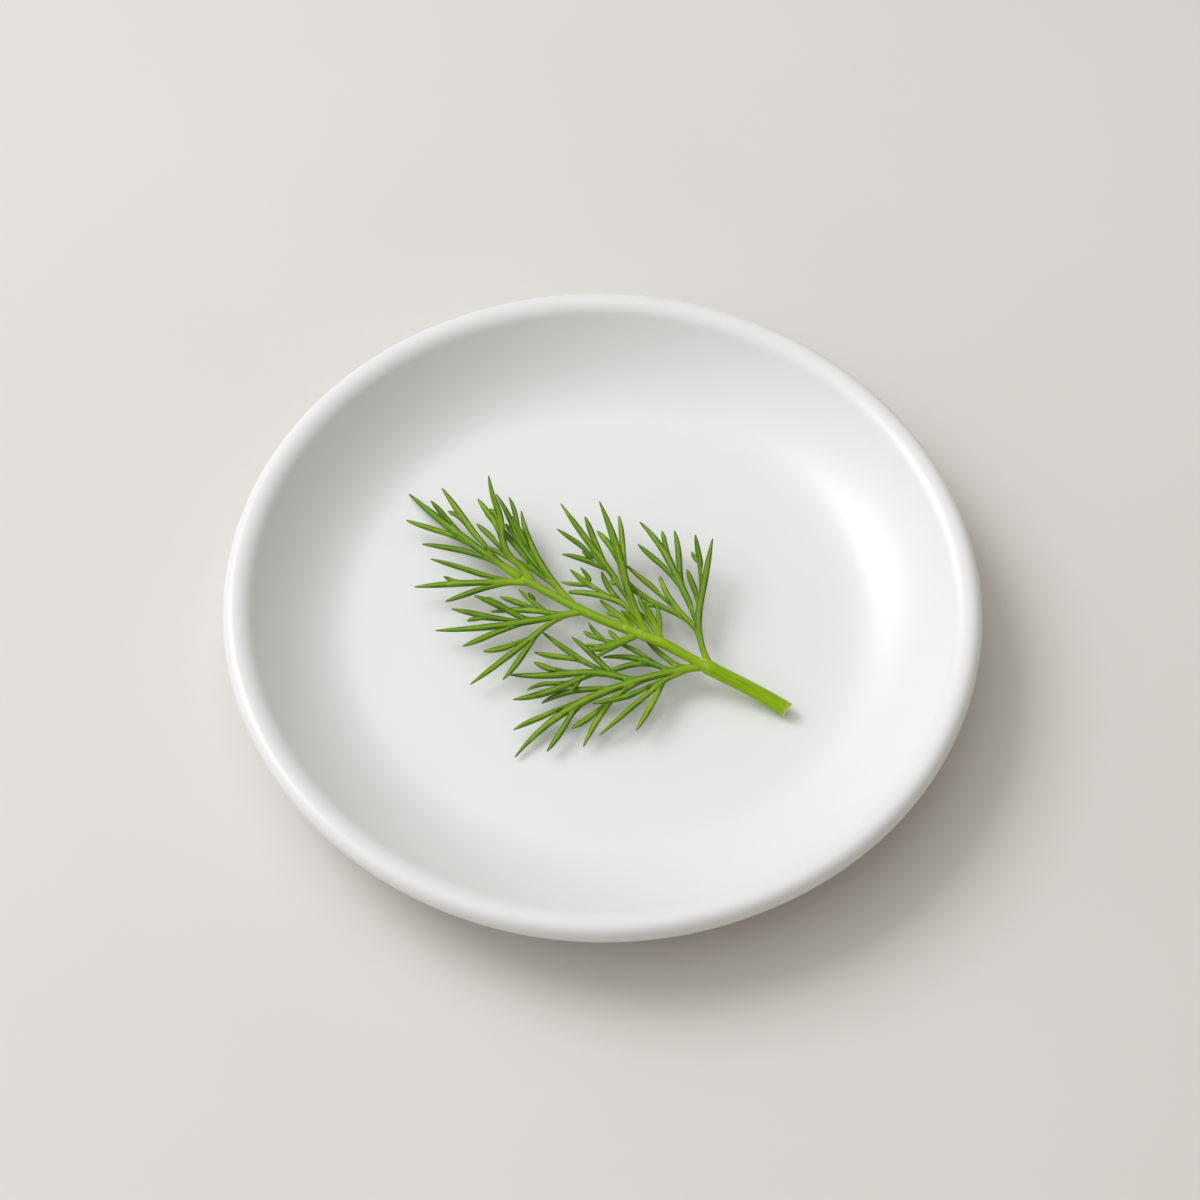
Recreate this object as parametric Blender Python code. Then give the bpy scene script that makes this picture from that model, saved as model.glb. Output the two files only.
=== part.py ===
"""A dill sprig lying on a small white porcelain dish.

Metres, +Z up. The origin is the centre of the dish's foot, on the surface it stands on. The sprig is
one cut stem with eleven feathery leaves; each leaf is a branching shoot whose threads end in points.
Lengths are written in millimetres and turned to metres by MM.
"""

import math

import bmesh
import bpy
from mathutils import Vector
from mathutils.geometry import intersect_point_line

MM = 0.001
UP = Vector((0.0, 0.0, 1.0))
GAP = 0.3  # clearance between pieces that touch

# Dish
RIM_RADIUS = 50.0
LIP_THICKNESS = 3.1
LIP_HEIGHT = 11.4  # middle of the rolled lip above the table
LIP_INNER_ROUND = 3.0  # the lip rolls over more gently towards the well
LIP_INNER_END = 140.0  # where that roll meets the wall, in degrees round its middle
LIP_OUTER_END = -40.0  # where the lip's outer roll meets the underside
WALL_PULL = 4.5  # length of the wall's curve that keeps the roll's slope
WELL_PULL = 5.5  # length of the wall's curve that stays level with the well
WELL_HEIGHT = 4.0  # top of the flat well floor
WELL_RADIUS = 33.0
UNDERSIDE_DROP = (1.1, 5.0)  # inwards and down from the rim, to where the underside still falls steeply
UNDERSIDE_SWEEP = (6.5, 0.4)  # inwards from the rim and up from the foot, to where it runs nearly level
FOOT_RADIUS = 29.4
FOOT_WIDTH = 2.8
FOOT_HEIGHT = 1.5
FOOT_ROUND = 0.3
FOOT_FILLET = 1.6  # reach of the curve from the foot ring's outer side to the underside
FOOT_STEP = (0.2, 0.5)  # outwards and down, the fillet's lower end
FOOT_RECESS = 0.2  # draft of the ring's inner side, and thickness kept above it
DISH_STEPS = 64
LIP_POINTS = 8
WALL_POINTS = 6

# Stem
STEM_START = (24.8, -13.6)  # middle of the cut end, seen from above
STEM_HEADING = 152.0
STEM_LENGTH = 40.0
STEM_BENDS = (8.0, -6.0, 4.0, -10.0, 0.0)
STEM_PLACES = (0.0, 0.14, 0.28, 0.45, 0.7, 1.0)
STEM_HEIGHTS = (1.2, 2.4, 3.8, 5.0, 4.6, 3.8)  # above the well floor, at those places
STEM_RADII = (0.96, 0.93, 0.88, 0.60, 0.52, 0.42)
STEM_POINTS = 25

# Leaves: widths of the shoots across their flat side
BROAD = 1.08
BOLD = 0.95
PLAIN = 0.80
FINE = 0.62
FLATNESS = 0.72  # thickness of a shoot as a share of its width
NARROWING = 0.2  # share of its width that a shoot loses on its way, its point apart
TIP_SHARE = 0.16  # width left at a tip
TAPER_FROM = 0.62  # where along a shoot its point begins
TAPER_CLEAR = 0.3  # between the ring where a point begins and a side shoot's window
CLIMB_POWER = 1.5  # a shoot starts level with its parent, then rises or droops
LONGEST_STEP = 2.6  # between the rings of a shoot
WINDOW_GAP = 0.12  # between the windows in a shoot's skin that its side shoots grow from
WINDOW_HALF_LEAST = 0.3
WINDOW_HALF_MOST = 0.55
PAIR_WINDOW = 1.4  # halves of a side shoot's window that it needs when it shares one
FORK_CLEAR = 0.12  # from a parent's skin to its side shoot's first ring
FORK_LEAST = 0.5
FORK_MOST_SHARE = 0.42
COURSE_SAMPLES = 48
CLEAR_STEP = 0.05
FIRST_STEP = 0.25  # from the foot of a leaf to its first ring

SHOOT_GREEN = (0.137, 0.262, 0.022, 1.0)
STEM_GREEN = (0.235, 0.392, 0.014, 1.0)
GLAZE_WHITE = (0.86, 0.86, 0.84, 1.0)


class Shoot:
    """A branch or thread of a leaf, told from where it leaves its parent.

    at: place on the parent, 0 at its base and 1 at its tip
    turn: degrees it leaves to the left of the parent's direction, seen from above
    length: millimetres, seen from above
    bend: degrees it curves to the left on its way, or one number for each equal part of the way
    climb: millimetres that its tip ends above its base
    """

    def __init__(self, at, turn, length, bend, climb, width=PLAIN, shoots=()):
        self.at = at
        self.turn = turn
        self.length = length
        self.bends = bend if isinstance(bend, tuple) else (bend,)
        self.climb = climb
        self.width = width
        self.shoots = shoots


# The leaves, pair by pair from the cut end. A leaf's own place and turn are those on the stem.
LEAVES = {
    "leaf_1_right": Shoot(0.277, -39, 19.9, (-38, 0), 2.0, BOLD, (
        Shoot(0.31, 46, 10.0, -37, -0.3, PLAIN, (
            Shoot(0.31, 31, 10.0, (-16, -28), -0.8, PLAIN, (
                Shoot(0.38, 45, 2.0, -40, -0.3, FINE),
                Shoot(0.72, 30, 1.6, -40, -0.2, FINE),
            )),
            Shoot(0.53, 18, 9.0, -5, -0.2, PLAIN),
        )),
        Shoot(0.37, 23, 18.1, (-2, 20), -0.6, BOLD, (
            Shoot(0.38, -26, 8.0, 18, 0.3, PLAIN),
            Shoot(0.41, 26, 8.0, -10, -1.0, PLAIN),
            Shoot(0.64, -28, 3.5, 20, 0.5, FINE),
        )),
        Shoot(0.53, 42, 4.5, -14, 1.2, PLAIN),
        Shoot(0.66, 21, 7.0, -2, 1.2, PLAIN, (
            Shoot(0.36, 28, 2.5, -18, 0.1, FINE),
        )),
    )),
    "leaf_1_left": Shoot(0.30, 33, 28.5, (13, 32), -3.3, BROAD, (
        Shoot(0.11, -49, 7.5, -21, -1.0, PLAIN),
        Shoot(0.14, 30, 13.5, -1, -1.7, PLAIN, (
            Shoot(0.16, 26, 8.0, -10, -0.8, PLAIN),
            Shoot(0.25, -16, 9.0, -14, 0.4, PLAIN),
        )),
        Shoot(0.17, -52, 9.5, 44, -1.0, PLAIN, (
            Shoot(0.31, -26, 5.0, 38, 0.2, FINE),
            Shoot(0.39, 38, 5.0, 1, -0.6, PLAIN),
        )),
        Shoot(0.34, -43, 17.0, (33, -16), -0.9, BOLD, (
            Shoot(0.18, -40, 8.0, 12, -0.2, PLAIN),
            Shoot(0.24, -23, 10.5, -9, 0.0, PLAIN, (
                Shoot(0.40, 38, 6.0, -24, -0.5, PLAIN),
            )),
            Shoot(0.35, 39, 11.0, -31, -0.6, BOLD, (
                Shoot(0.15, 42, 2.5, -30, 0.4, FINE),
                Shoot(0.34, -43, 5.5, 63, 0.8, FINE),
            )),
            Shoot(0.56, -26, 4.2, -2, 0.5, PLAIN),
        )),
        Shoot(0.37, 27, 10.5, 23, -1.6, PLAIN, (
            Shoot(0.40, -18, 5.5, -5, -0.6, PLAIN),
        )),
        Shoot(0.47, -35, 9.0, 47, -1.1, PLAIN),
        Shoot(0.63, 39, 7.5, -16, -0.7, PLAIN),
        Shoot(0.66, -18, 8.0, 19, -0.2, PLAIN),
    )),
    "leaf_2_right": Shoot(0.46, -48, 6.5, 12, 0.6, PLAIN, (
        Shoot(0.12, -20, 4.9, 17, 0.6, FINE),
        Shoot(0.37, 19, 4.5, -8, -1.7, FINE),
        Shoot(0.66, 28, 3.2, -40, 0.9, FINE),
    )),
    "leaf_3_right": Shoot(0.51, -40, 22.0, (-13, 10), 1.2, BROAD, (
        Shoot(0.10, 41, 3.0, 10, 1.5, PLAIN),
        Shoot(0.19, 29, 10.0, 37, -1.4, PLAIN, (
            Shoot(0.32, -31, 5.5, -17, -0.8, PLAIN),
            Shoot(0.50, -17, 6.5, -9, -0.4, PLAIN, (
                Shoot(0.22, -26, 4.5, 12, -0.4, FINE),
                Shoot(0.40, 38, 4.0, -20, -0.8, FINE),
            )),
        )),
        Shoot(0.28, 16, 18.0, -2, 0.3, BOLD, (
            Shoot(0.12, 28, 2.0, 0, 0.3, FINE),
            Shoot(0.26, 17, 7.5, 34, 0.3, PLAIN, (
                Shoot(0.36, -32, 2.4, 45, 1.0, FINE),
            )),
            Shoot(0.41, 17, 8.0, 0, -0.4, PLAIN),
            Shoot(0.43, -18, 6.5, 8, 0.8, PLAIN),
        )),
        Shoot(0.51, -17, 8.0, 16, 0.6, PLAIN),
        Shoot(0.58, 17, 5.5, 6, -0.5, PLAIN),
    )),
    "leaf_3_middle": Shoot(0.56, -38, 7.5, (17, -11), -1.6, PLAIN, (
        Shoot(0.50, 42, 1.6, -30, -0.3, FINE),
    )),
    "leaf_3_left": Shoot(0.55, 64, 7.0, -39, -0.6, PLAIN, (
        Shoot(0.38, -75, 2.5, 0, 0.0, FINE),
        Shoot(0.52, -46, 5.0, -42, -0.2, FINE, (
            Shoot(0.32, 28, 3.0, -30, -0.2, FINE),
        )),
        Shoot(0.57, 38, 2.5, -36, -0.3, FINE),
        Shoot(0.76, -37, 2.2, 20, -0.2, FINE),
    )),
    "leaf_4_left": Shoot(0.75, 46, 20.0, -17, -1.8, BOLD, (
        Shoot(0.16, -33, 9.5, 24, -1.6, PLAIN, (
            Shoot(0.20, -22, 5.0, -6, 0.6, FINE, (
                Shoot(0.30, -28, 2.2, 30, 0.6, FINE),
            )),
            Shoot(0.36, -17, 5.2, 14, 0.3, PLAIN),
        )),
        Shoot(0.17, 31, 15.0, -7, -2.0, PLAIN, (
            Shoot(0.29, 27, 7.5, -20, -0.8, PLAIN),
            Shoot(0.37, -17, 6.0, -13, 0.2, PLAIN),
        )),
        Shoot(0.38, -45, 8.0, 22, 1.0, PLAIN, (
            Shoot(0.56, -28, 2.0, 34, 0.2, FINE),
        )),
        Shoot(0.45, -22, 9.0, 4, 0.3, PLAIN, (
            Shoot(0.48, 28, 2.5, -5, -0.4, FINE),
        )),
        Shoot(0.47, 24, 7.5, -9, -0.4, PLAIN),
    )),
    "leaf_4_right": Shoot(0.78, -16, 17.5, (-14, -20), 0.0, BOLD, (
        Shoot(0.28, 16, 8.0, -7, -2.6, PLAIN, (
            Shoot(0.46, -17, 12.0, 12, -1.0, PLAIN),
        )),
        Shoot(0.37, 18, 15.5, (-31, 10), -0.8, PLAIN, (
            Shoot(0.47, 26, 3.0, -21, -0.3, FINE),
            Shoot(0.50, -22, 6.0, 31, 0.6, FINE),
        )),
        Shoot(0.57, 17, 6.0, -18, 1.8, PLAIN),
    )),
    "leaf_5_left": Shoot(0.97, 33, 15.5, 4, -1.0, PLAIN, (
        Shoot(0.22, -22, 10.5, 7, 0.5, PLAIN),
        Shoot(0.24, 22, 8.0, -2, -0.5, PLAIN),
        Shoot(0.63, -48, 2.0, 35, 0.3, FINE),
    )),
    "leaf_5_right": Shoot(0.95, -34, 17.5, (28, -50, 22, -15), 3.0, BOLD, (
        Shoot(0.27, 17, 4.0, 8, 0.8, FINE),
        Shoot(0.37, 17, 6.0, -2, -0.4, PLAIN),
        Shoot(0.53, 32, 6.0, -1, 0.4, PLAIN),
        Shoot(0.62, 24, 2.5, 5, -0.2, FINE),
    )),
    "leaf_tip": Shoot(1.0, -5, 22.5, -12, -3.3, BROAD, (
        Shoot(0.23, 22, 10.0, 11, -0.3, PLAIN),
        Shoot(0.25, -17, 12.5, 4, 1.2, BOLD, (
            Shoot(0.56, 28, 2.5, -3, -0.2, FINE),
        )),
        Shoot(0.48, 29, 8.5, -10, -0.3, PLAIN),
        Shoot(0.56, -16, 5.5, 18, 0.9, PLAIN),
    )),
}


def material(name, colour, roughness, metallic=0.0):
    """A plain Principled BSDF material."""
    made = bpy.data.materials.new(name)
    made.use_nodes = True
    shader = made.node_tree.nodes["Principled BSDF"]
    shader.inputs["Base Color"].default_value = colour
    shader.inputs["Roughness"].default_value = roughness
    shader.inputs["Metallic"].default_value = metallic
    return made


def finish(name, mesh_builder, look, sharp_degrees=30.0):
    """Turn a bmesh in millimetres into a named object in metres."""
    bmesh.ops.scale(mesh_builder, vec=(MM, MM, MM), verts=mesh_builder.verts)
    mesh = bpy.data.meshes.new(name)
    mesh_builder.to_mesh(mesh)
    mesh_builder.free()
    mesh.shade_smooth()
    mesh.set_sharp_from_angle(angle=math.radians(sharp_degrees))
    mesh.materials.append(look)
    made = bpy.data.objects.new(name, mesh)
    bpy.context.scene.collection.objects.link(made)
    return made


def between(places, values, t):
    """The value at t on straight lines through (places, values)."""
    for k in range(1, len(places)):
        if t <= places[k]:
            share = (t - places[k - 1]) / (places[k] - places[k - 1])
            return values[k - 1] + share * (values[k] - values[k - 1])
    return values[-1]


def bezier(start, pull_a, pull_b, end, count):
    """Points after the start of a cubic curve, its end among them."""
    points = []
    for k in range(1, count + 1):
        t = k / count
        weights = ((1 - t) ** 3, 3 * t * (1 - t) ** 2, 3 * t * t * (1 - t), t ** 3)
        corners = (start, pull_a, pull_b, end)
        points.append(tuple(sum(w * c[i] for w, c in zip(weights, corners)) for i in (0, 1)))
    return points


def arc(middle, radius, from_degrees, to_degrees, count):
    """Points of an arc after its start, its end among them."""
    points = []
    for k in range(1, count + 1):
        angle = math.radians(from_degrees + (to_degrees - from_degrees) * k / count)
        points.append((middle[0] + radius * math.cos(angle), middle[1] + radius * math.sin(angle)))
    return points


def dish_profile():
    """Half section of the dish as (radius, height), from the middle of the well round to its underside."""
    lip_round = LIP_THICKNESS / 2
    lip_middle = (RIM_RADIUS - lip_round, LIP_HEIGHT)
    roll_middle = (lip_middle[0], LIP_HEIGHT + lip_round - LIP_INNER_ROUND)
    end = math.radians(LIP_INNER_END)
    inner_edge = (roll_middle[0] + LIP_INNER_ROUND * math.cos(end),
                  roll_middle[1] + LIP_INNER_ROUND * math.sin(end))
    wall_pull = (inner_edge[0] - WALL_PULL * math.sin(end), inner_edge[1] + WALL_PULL * math.cos(end))
    points = [(0.0, WELL_HEIGHT), (WELL_RADIUS * 0.5, WELL_HEIGHT), (WELL_RADIUS, WELL_HEIGHT)]
    points += bezier(points[-1], (WELL_RADIUS + WELL_PULL, WELL_HEIGHT), wall_pull, inner_edge,
                     WALL_POINTS)
    points += arc(roll_middle, LIP_INNER_ROUND, LIP_INNER_END, 90.0, LIP_POINTS // 2)
    points += arc(lip_middle, lip_round, 90.0, LIP_OUTER_END, LIP_POINTS)
    points += bezier(points[-1], (RIM_RADIUS - UNDERSIDE_DROP[0], LIP_HEIGHT - UNDERSIDE_DROP[1]),
                     (RIM_RADIUS - UNDERSIDE_SWEEP[0], FOOT_HEIGHT + UNDERSIDE_SWEEP[1]),
                     (FOOT_RADIUS + FOOT_FILLET, FOOT_HEIGHT), WALL_POINTS)
    foot_inner = FOOT_RADIUS - FOOT_WIDTH
    points += [
        (FOOT_RADIUS + FOOT_STEP[0], FOOT_HEIGHT - FOOT_STEP[1]),
        (FOOT_RADIUS, FOOT_ROUND),
        (FOOT_RADIUS - FOOT_ROUND, 0.0),
        (foot_inner + FOOT_ROUND, 0.0),
        (foot_inner, FOOT_ROUND),
        (foot_inner - FOOT_RECESS, FOOT_HEIGHT - FOOT_RECESS),
        (0.0, FOOT_HEIGHT - FOOT_RECESS),
    ]
    return points


def build_dish():
    """The dish, turned round its axis."""
    turned = bmesh.new()
    corners = [turned.verts.new((r, 0.0, z)) for r, z in dish_profile()]
    edges = [turned.edges.new(pair) for pair in zip(corners, corners[1:])]
    bmesh.ops.spin(turned, geom=corners + edges, cent=(0, 0, 0), axis=UP, dvec=(0, 0, 0),
                   angle=math.tau, steps=DISH_STEPS, use_merge=True, use_duplicate=False)
    bmesh.ops.remove_doubles(turned, verts=turned.verts, dist=0.001)
    bmesh.ops.recalc_face_normals(turned, faces=turned.faces)
    return finish("plate", turned, material("glazed_porcelain", GLAZE_WHITE, 0.18), 50.0)


class Course:
    """The middle line that a shoot or the stem follows through space."""

    def __init__(self, start, heading, length, bends, heights):
        self.length = length
        self.points = []
        self.headings = []
        x, y = start
        step = length / COURSE_SAMPLES
        for k in range(COURSE_SAMPLES + 1):
            t = k / COURSE_SAMPLES
            self.points.append(Vector((x, y, heights(t))))
            self.headings.append(heading + self.turned(bends, t))
            middle = math.radians(heading + self.turned(bends, t + 0.5 / COURSE_SAMPLES))
            x += step * math.cos(middle)
            y += step * math.sin(middle)

    @staticmethod
    def turned(bends, t):
        """Degrees turned by t, each bend being spread over its equal part of the way."""
        return sum(bend * min(max(t * len(bends) - k, 0.0), 1.0) for k, bend in enumerate(bends))

    def place(self, distance):
        """Point, direction and left-hand side at a distance from the start."""
        t = min(max(distance / self.length, 0.0), 1.0) * COURSE_SAMPLES
        k = min(int(t), COURSE_SAMPLES - 1)
        point = self.points[k].lerp(self.points[k + 1], t - k)
        ahead = (self.points[k + 1] - self.points[k]).normalized()
        heading = math.radians(self.headings[k] + (t - k) * (self.headings[k + 1] - self.headings[k]))
        left = Vector((-math.sin(heading), math.cos(heading), 0.0))
        return point, ahead, left

    def heading(self, distance):
        """Heading in degrees at a distance from the start."""
        t = distance / self.length * COURSE_SAMPLES
        k = min(int(t), COURSE_SAMPLES - 1)
        return self.headings[k] + (t - k) * (self.headings[k + 1] - self.headings[k])


def stem_course():
    """The stem's middle line, from the cut end to the last pair of leaves."""
    def heights(t):
        return WELL_HEIGHT + between(STEM_PLACES, STEM_HEIGHTS, t)
    return Course(STEM_START, STEM_HEADING, STEM_LENGTH, STEM_BENDS, heights)


def stem_radius(t):
    """Radius of the stem at a place along it."""
    return between(STEM_PLACES, STEM_RADII, t)


def shoot_course(parent, shoot):
    """The middle line of a shoot, from the middle of its parent."""
    distance = shoot.at * parent.length
    start, _, _ = parent.place(distance)

    def heights(t):
        return start.z + shoot.climb * t ** CLIMB_POWER
    heading = parent.heading(distance) + shoot.turn
    return Course((start.x, start.y), heading, shoot.length, shoot.bends, heights)


def half_width(shoot, t):
    """Half the width of a shoot at t along it: a gentle taper, then its point."""
    full = shoot.width / 2 * (1.0 - NARROWING * t)
    if t <= TAPER_FROM:
        return full
    share = (t - TAPER_FROM) / (1.0 - TAPER_FROM)
    return full * (1.0 - share * (1.0 - TIP_SHARE))


def corner_point(course, shoot, distance, side, rise):
    """A corner of the shoot's section: side is 1 on the left and -1 on the right, rise 1 on top."""
    point, ahead, left = course.place(distance)
    half = half_width(shoot, distance / course.length)
    over = ahead.cross(left)
    return point + left * (side * half) + over * (rise * half * FLATNESS)


def moved_on(builder, cap, ring, targets):
    """Extrude the end face and move its corners to the targets; gives the new end face and ring."""
    old_places = {key: vert.co.copy() for key, vert in ring.items()}
    new_cap = bmesh.ops.extrude_discrete_faces(builder, faces=[cap])["faces"][0]
    new_ring = {}
    for vert in new_cap.verts:
        key = min(old_places, key=lambda k: (old_places[k] - vert.co).length_squared)
        new_ring[key] = vert
    for key, vert in new_ring.items():
        vert.co = targets[key]
    return new_cap, new_ring


def side_face(ring, next_ring, side):
    """The face between two rings on one side of a shoot."""
    wanted = {ring[side, 1], ring[side, -1], next_ring[side, 1], next_ring[side, -1]}
    for face in ring[side, 1].link_faces:
        if set(face.verts) == wanted:
            return face
    raise ValueError("the rings do not follow each other")


def window_half(shoot):
    """Half the length of the place on its parent that a side shoot grows from."""
    opening = shoot.width / 2 / math.sin(math.radians(abs(shoot.turn)))
    return min(max(opening, WINDOW_HALF_LEAST), WINDOW_HALF_MOST)


def windows(shoot, course, first):
    """Places along a shoot where its side shoots leave: [start, end, side shoots]."""
    found = []
    for child in sorted(shoot.shoots, key=lambda each: each.at):
        half = window_half(child)
        start = child.at * course.length - half
        end = start + 2 * half
        if found and start < found[-1][1] + WINDOW_GAP:
            last = found[-1]
            other_side = len(last[2]) == 1 and (last[2][0].turn > 0) != (child.turn > 0)
            if other_side and child.at * course.length < last[1] + half:
                last[1] = max(last[1], start + PAIR_WINDOW * half)
                last[2].append(child)
                continue
            start = last[1] + WINDOW_GAP
            end = start + 2 * half
        if start < first + WINDOW_GAP:
            start = first + WINDOW_GAP
            end = start + 2 * half
        found.append([start, end, [child]])
    return found


def stations(shoot, course, first, openings):
    """Distances of the rings of a shoot after its first ring."""
    fixed = sorted([edge for opening in openings for edge in opening[:2]] + [course.length])
    taper_start = TAPER_FROM * course.length
    beside = [start - TAPER_CLEAR < taper_start < end + TAPER_CLEAR for start, end, _ in openings]
    if not any(beside) and taper_start > first + TAPER_CLEAR:
        fixed = sorted(fixed + [taper_start])
    places = []
    last = first
    for stop in fixed:
        pieces = max(1, math.ceil((stop - last) / LONGEST_STEP))
        places += [last + (stop - last) * k / pieces for k in range(1, pieces + 1)]
        last = stop
    return places


def grow(builder, shoot, course, cap, ring, first):
    """Carry a shoot on from its first ring to its tip, then grow its side shoots."""
    openings = windows(shoot, course, first)
    sprouts = []
    last = first
    for stop in stations(shoot, course, first, openings):
        targets = {key: corner_point(course, shoot, stop, *key) for key in ring}
        cap, next_ring = moved_on(builder, cap, ring, targets)
        for opening in openings:
            if abs(opening[0] - last) < 1e-6:
                for child in opening[2]:
                    side = 1 if child.turn > 0 else -1
                    sprouts.append((child, side, side_face(ring, next_ring, side)))
        ring = next_ring
        last = stop
    for child, side, face in sprouts:
        sprout(builder, shoot, course, child, side, face)


def sprout(builder, parent, parent_course, child, side, face):
    """Grow a side shoot out of a side face of its parent."""
    course = shoot_course(parent_course, child)
    _, ahead, _ = parent_course.place(child.at * parent_course.length)
    middle = face.calc_center_median()
    opening = math.radians(abs(child.turn))
    parent_half = half_width(parent, child.at)
    clear = (parent_half + FORK_CLEAR) / math.sin(opening) + child.width / 2 / math.tan(opening)
    first = min(max(clear, FORK_LEAST), FORK_MOST_SHARE * course.length)
    ring = {}
    targets = {}
    for vert in face.verts:
        offset = vert.co - middle
        far = 1 if offset.dot(ahead) > 0 else -1
        key = (-side * far, 1 if offset.z > 0 else -1)
        ring[key] = vert
        targets[key] = corner_point(course, child, first, *key)
    cap, ring = moved_on(builder, face, ring, targets)
    grow(builder, child, course, cap, ring, first)


class Bar:
    """A round thing in the way: a course and its radius at a place along it."""

    def __init__(self, course, radius):
        self.course = course
        self.radius = radius

    def clears(self, point):
        """Whether a point keeps the gap to this bar."""
        points = self.course.points
        best = None
        for k in range(COURSE_SAMPLES):
            near, share = intersect_point_line(point, points[k], points[k + 1])
            share = min(max(share, 0.0), 1.0)
            near = points[k].lerp(points[k + 1], share)
            distance = (point - near).length
            if best is None or distance < best[0]:
                best = (distance, (k + share) / COURSE_SAMPLES)
        beyond = (point - points[-1]).dot((points[-1] - points[-2]).normalized())
        return beyond > GAP or best[0] > self.radius(best[1]) + GAP


def clear_distance(course, shoot, bars, side, rise):
    """Distance along a leaf at which a corner of its base clears every bar by the gap."""
    distance = 0.0
    while distance < course.length:
        corner = corner_point(course, shoot, distance, side, rise)
        if all(bar.clears(corner) for bar in bars):
            return distance
        distance += CLEAR_STEP
    raise ValueError("a leaf never clears the stem")


def build_leaf(name, shoot, stem, bars, look):
    """One leaf: a closed cage whose shoots are all extruded from one small block."""
    course = shoot_course(stem, shoot)
    builder = bmesh.new()
    bmesh.ops.create_cube(builder, size=1.0)
    starts = {(side, rise): clear_distance(course, shoot, bars, side, rise)
              for side in (1, -1) for rise in (1, -1)}
    first = max(starts.values()) + FIRST_STEP
    base = {}
    ring = {}
    for vert in builder.verts:
        key = (1 if vert.co.y > 0 else -1, 1 if vert.co.z > 0 else -1)
        (ring if vert.co.x > 0 else base)[key] = vert
    cap = next(face for face in builder.faces if set(face.verts) == set(ring.values()))
    for key in ring:
        base[key].co = corner_point(course, shoot, starts[key], *key)
        ring[key].co = corner_point(course, shoot, first, *key)
    grow(builder, shoot, course, cap, ring, first)
    bmesh.ops.triangulate(builder, faces=builder.faces)
    return finish(name, builder, look)


def build_stem(stem, look):
    """The stem: a round bar that thins past each pair of leaves."""
    line = bpy.data.curves.new("stem_line", "CURVE")
    line.dimensions = "3D"
    line.bevel_depth = MM
    line.bevel_resolution = 2
    line.use_fill_caps = True
    spline = line.splines.new("POLY")
    spline.points.add(STEM_POINTS - 1)
    for k, point in enumerate(spline.points):
        t = k / (STEM_POINTS - 1)
        middle, _, _ = stem.place(t * stem.length)
        point.co = (*(middle * MM), 1.0)
        point.radius = stem_radius(t)
    made = bpy.data.objects.new("stem", line)
    line.materials.append(look)
    bpy.context.scene.collection.objects.link(made)
    return made


def main():
    for old in list(bpy.data.objects):
        bpy.data.objects.remove(old)
    build_dish()
    stem = stem_course()
    build_stem(stem, material("dill_stem", STEM_GREEN, 0.42))
    tip = LEAVES["leaf_tip"]
    stem_bar = Bar(stem, stem_radius)
    tip_bar = Bar(shoot_course(stem, tip), lambda t: half_width(tip, t))
    leaf_look = material("dill_leaf", SHOOT_GREEN, 0.48)
    for name, shoot in LEAVES.items():
        bars = [stem_bar, tip_bar] if name.startswith("leaf_5") else [stem_bar]
        build_leaf(name, shoot, stem, bars, leaf_look)


main()
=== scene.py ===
"""A dill sprig lying on a small white porcelain dish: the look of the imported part, in its own frame.

Lengths are in millimetres until a mesh is made, and MM turns them into metres. +Z is up, the dish
stands on Z = 0 and the viewer is on the -Y side.
"""

import logging
import math
import random
from dataclasses import dataclass, field
from enum import Enum
from typing import Callable, Iterable, Sequence

import bmesh
import bpy
from mathutils import Matrix, Vector

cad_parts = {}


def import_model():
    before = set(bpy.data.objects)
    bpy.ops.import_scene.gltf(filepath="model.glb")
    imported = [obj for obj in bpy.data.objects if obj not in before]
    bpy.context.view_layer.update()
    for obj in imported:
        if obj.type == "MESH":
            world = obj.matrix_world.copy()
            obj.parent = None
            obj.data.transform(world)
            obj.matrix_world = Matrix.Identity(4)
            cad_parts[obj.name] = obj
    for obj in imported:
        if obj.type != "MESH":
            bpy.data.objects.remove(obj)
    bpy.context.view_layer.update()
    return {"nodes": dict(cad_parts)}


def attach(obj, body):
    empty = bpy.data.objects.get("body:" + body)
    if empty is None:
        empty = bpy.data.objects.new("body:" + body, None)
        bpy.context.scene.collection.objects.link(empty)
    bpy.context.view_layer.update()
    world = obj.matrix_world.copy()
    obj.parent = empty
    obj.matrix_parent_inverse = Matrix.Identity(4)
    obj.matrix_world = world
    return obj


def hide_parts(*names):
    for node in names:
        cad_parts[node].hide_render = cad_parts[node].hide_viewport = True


LOG = logging.getLogger("dill")
MM = 0.001
Corner = tuple[int, int]
Point = tuple[float, float]
Span = tuple[float, float]
UNIT: Span = (0.0, 1.0)
Wave = tuple[float, int, float]  # height, rounds and phase of a wave round a ring


class Slot(Enum):
    """The material slots, by name."""

    PORCELAIN = "glazed_porcelain"
    STEM = "dill_stem"
    LEAF = "dill_leaf"


class Trace(Enum):
    """Values kept at the vertices of a green piece, for its finish."""

    ACROSS = "across"  # -1 on the right edge to 1 on the left
    RISE = "rise"  # -1 underneath to 1 on top
    REACH = "reach"  # millimetres from the stem along the shoots
    TIP = "tip"  # 0 to 1 over the last stretch of a thread
    SHADE = "shade"  # -1 to 1, one value for each shoot


# ---------------------------------------------------------------------------------------------
# Finishes
# ---------------------------------------------------------------------------------------------


def linear(hex_colour: str) -> tuple[float, float, float, float]:
    """Turn an sRGB colour to linear RGBA.

    Args:
        hex_colour: six digits after a hash, such as "#86A80C".

    Returns:
        Red, green, blue and an alpha of 1.
    """
    values = []
    for start in (1, 3, 5):
        share = int(hex_colour[start:start + 2], 16) / 255.0
        values.append(share / 12.92 if share <= 0.04045 else ((share + 0.055) / 1.055) ** 2.4)
    return values[0], values[1], values[2], 1.0


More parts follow.
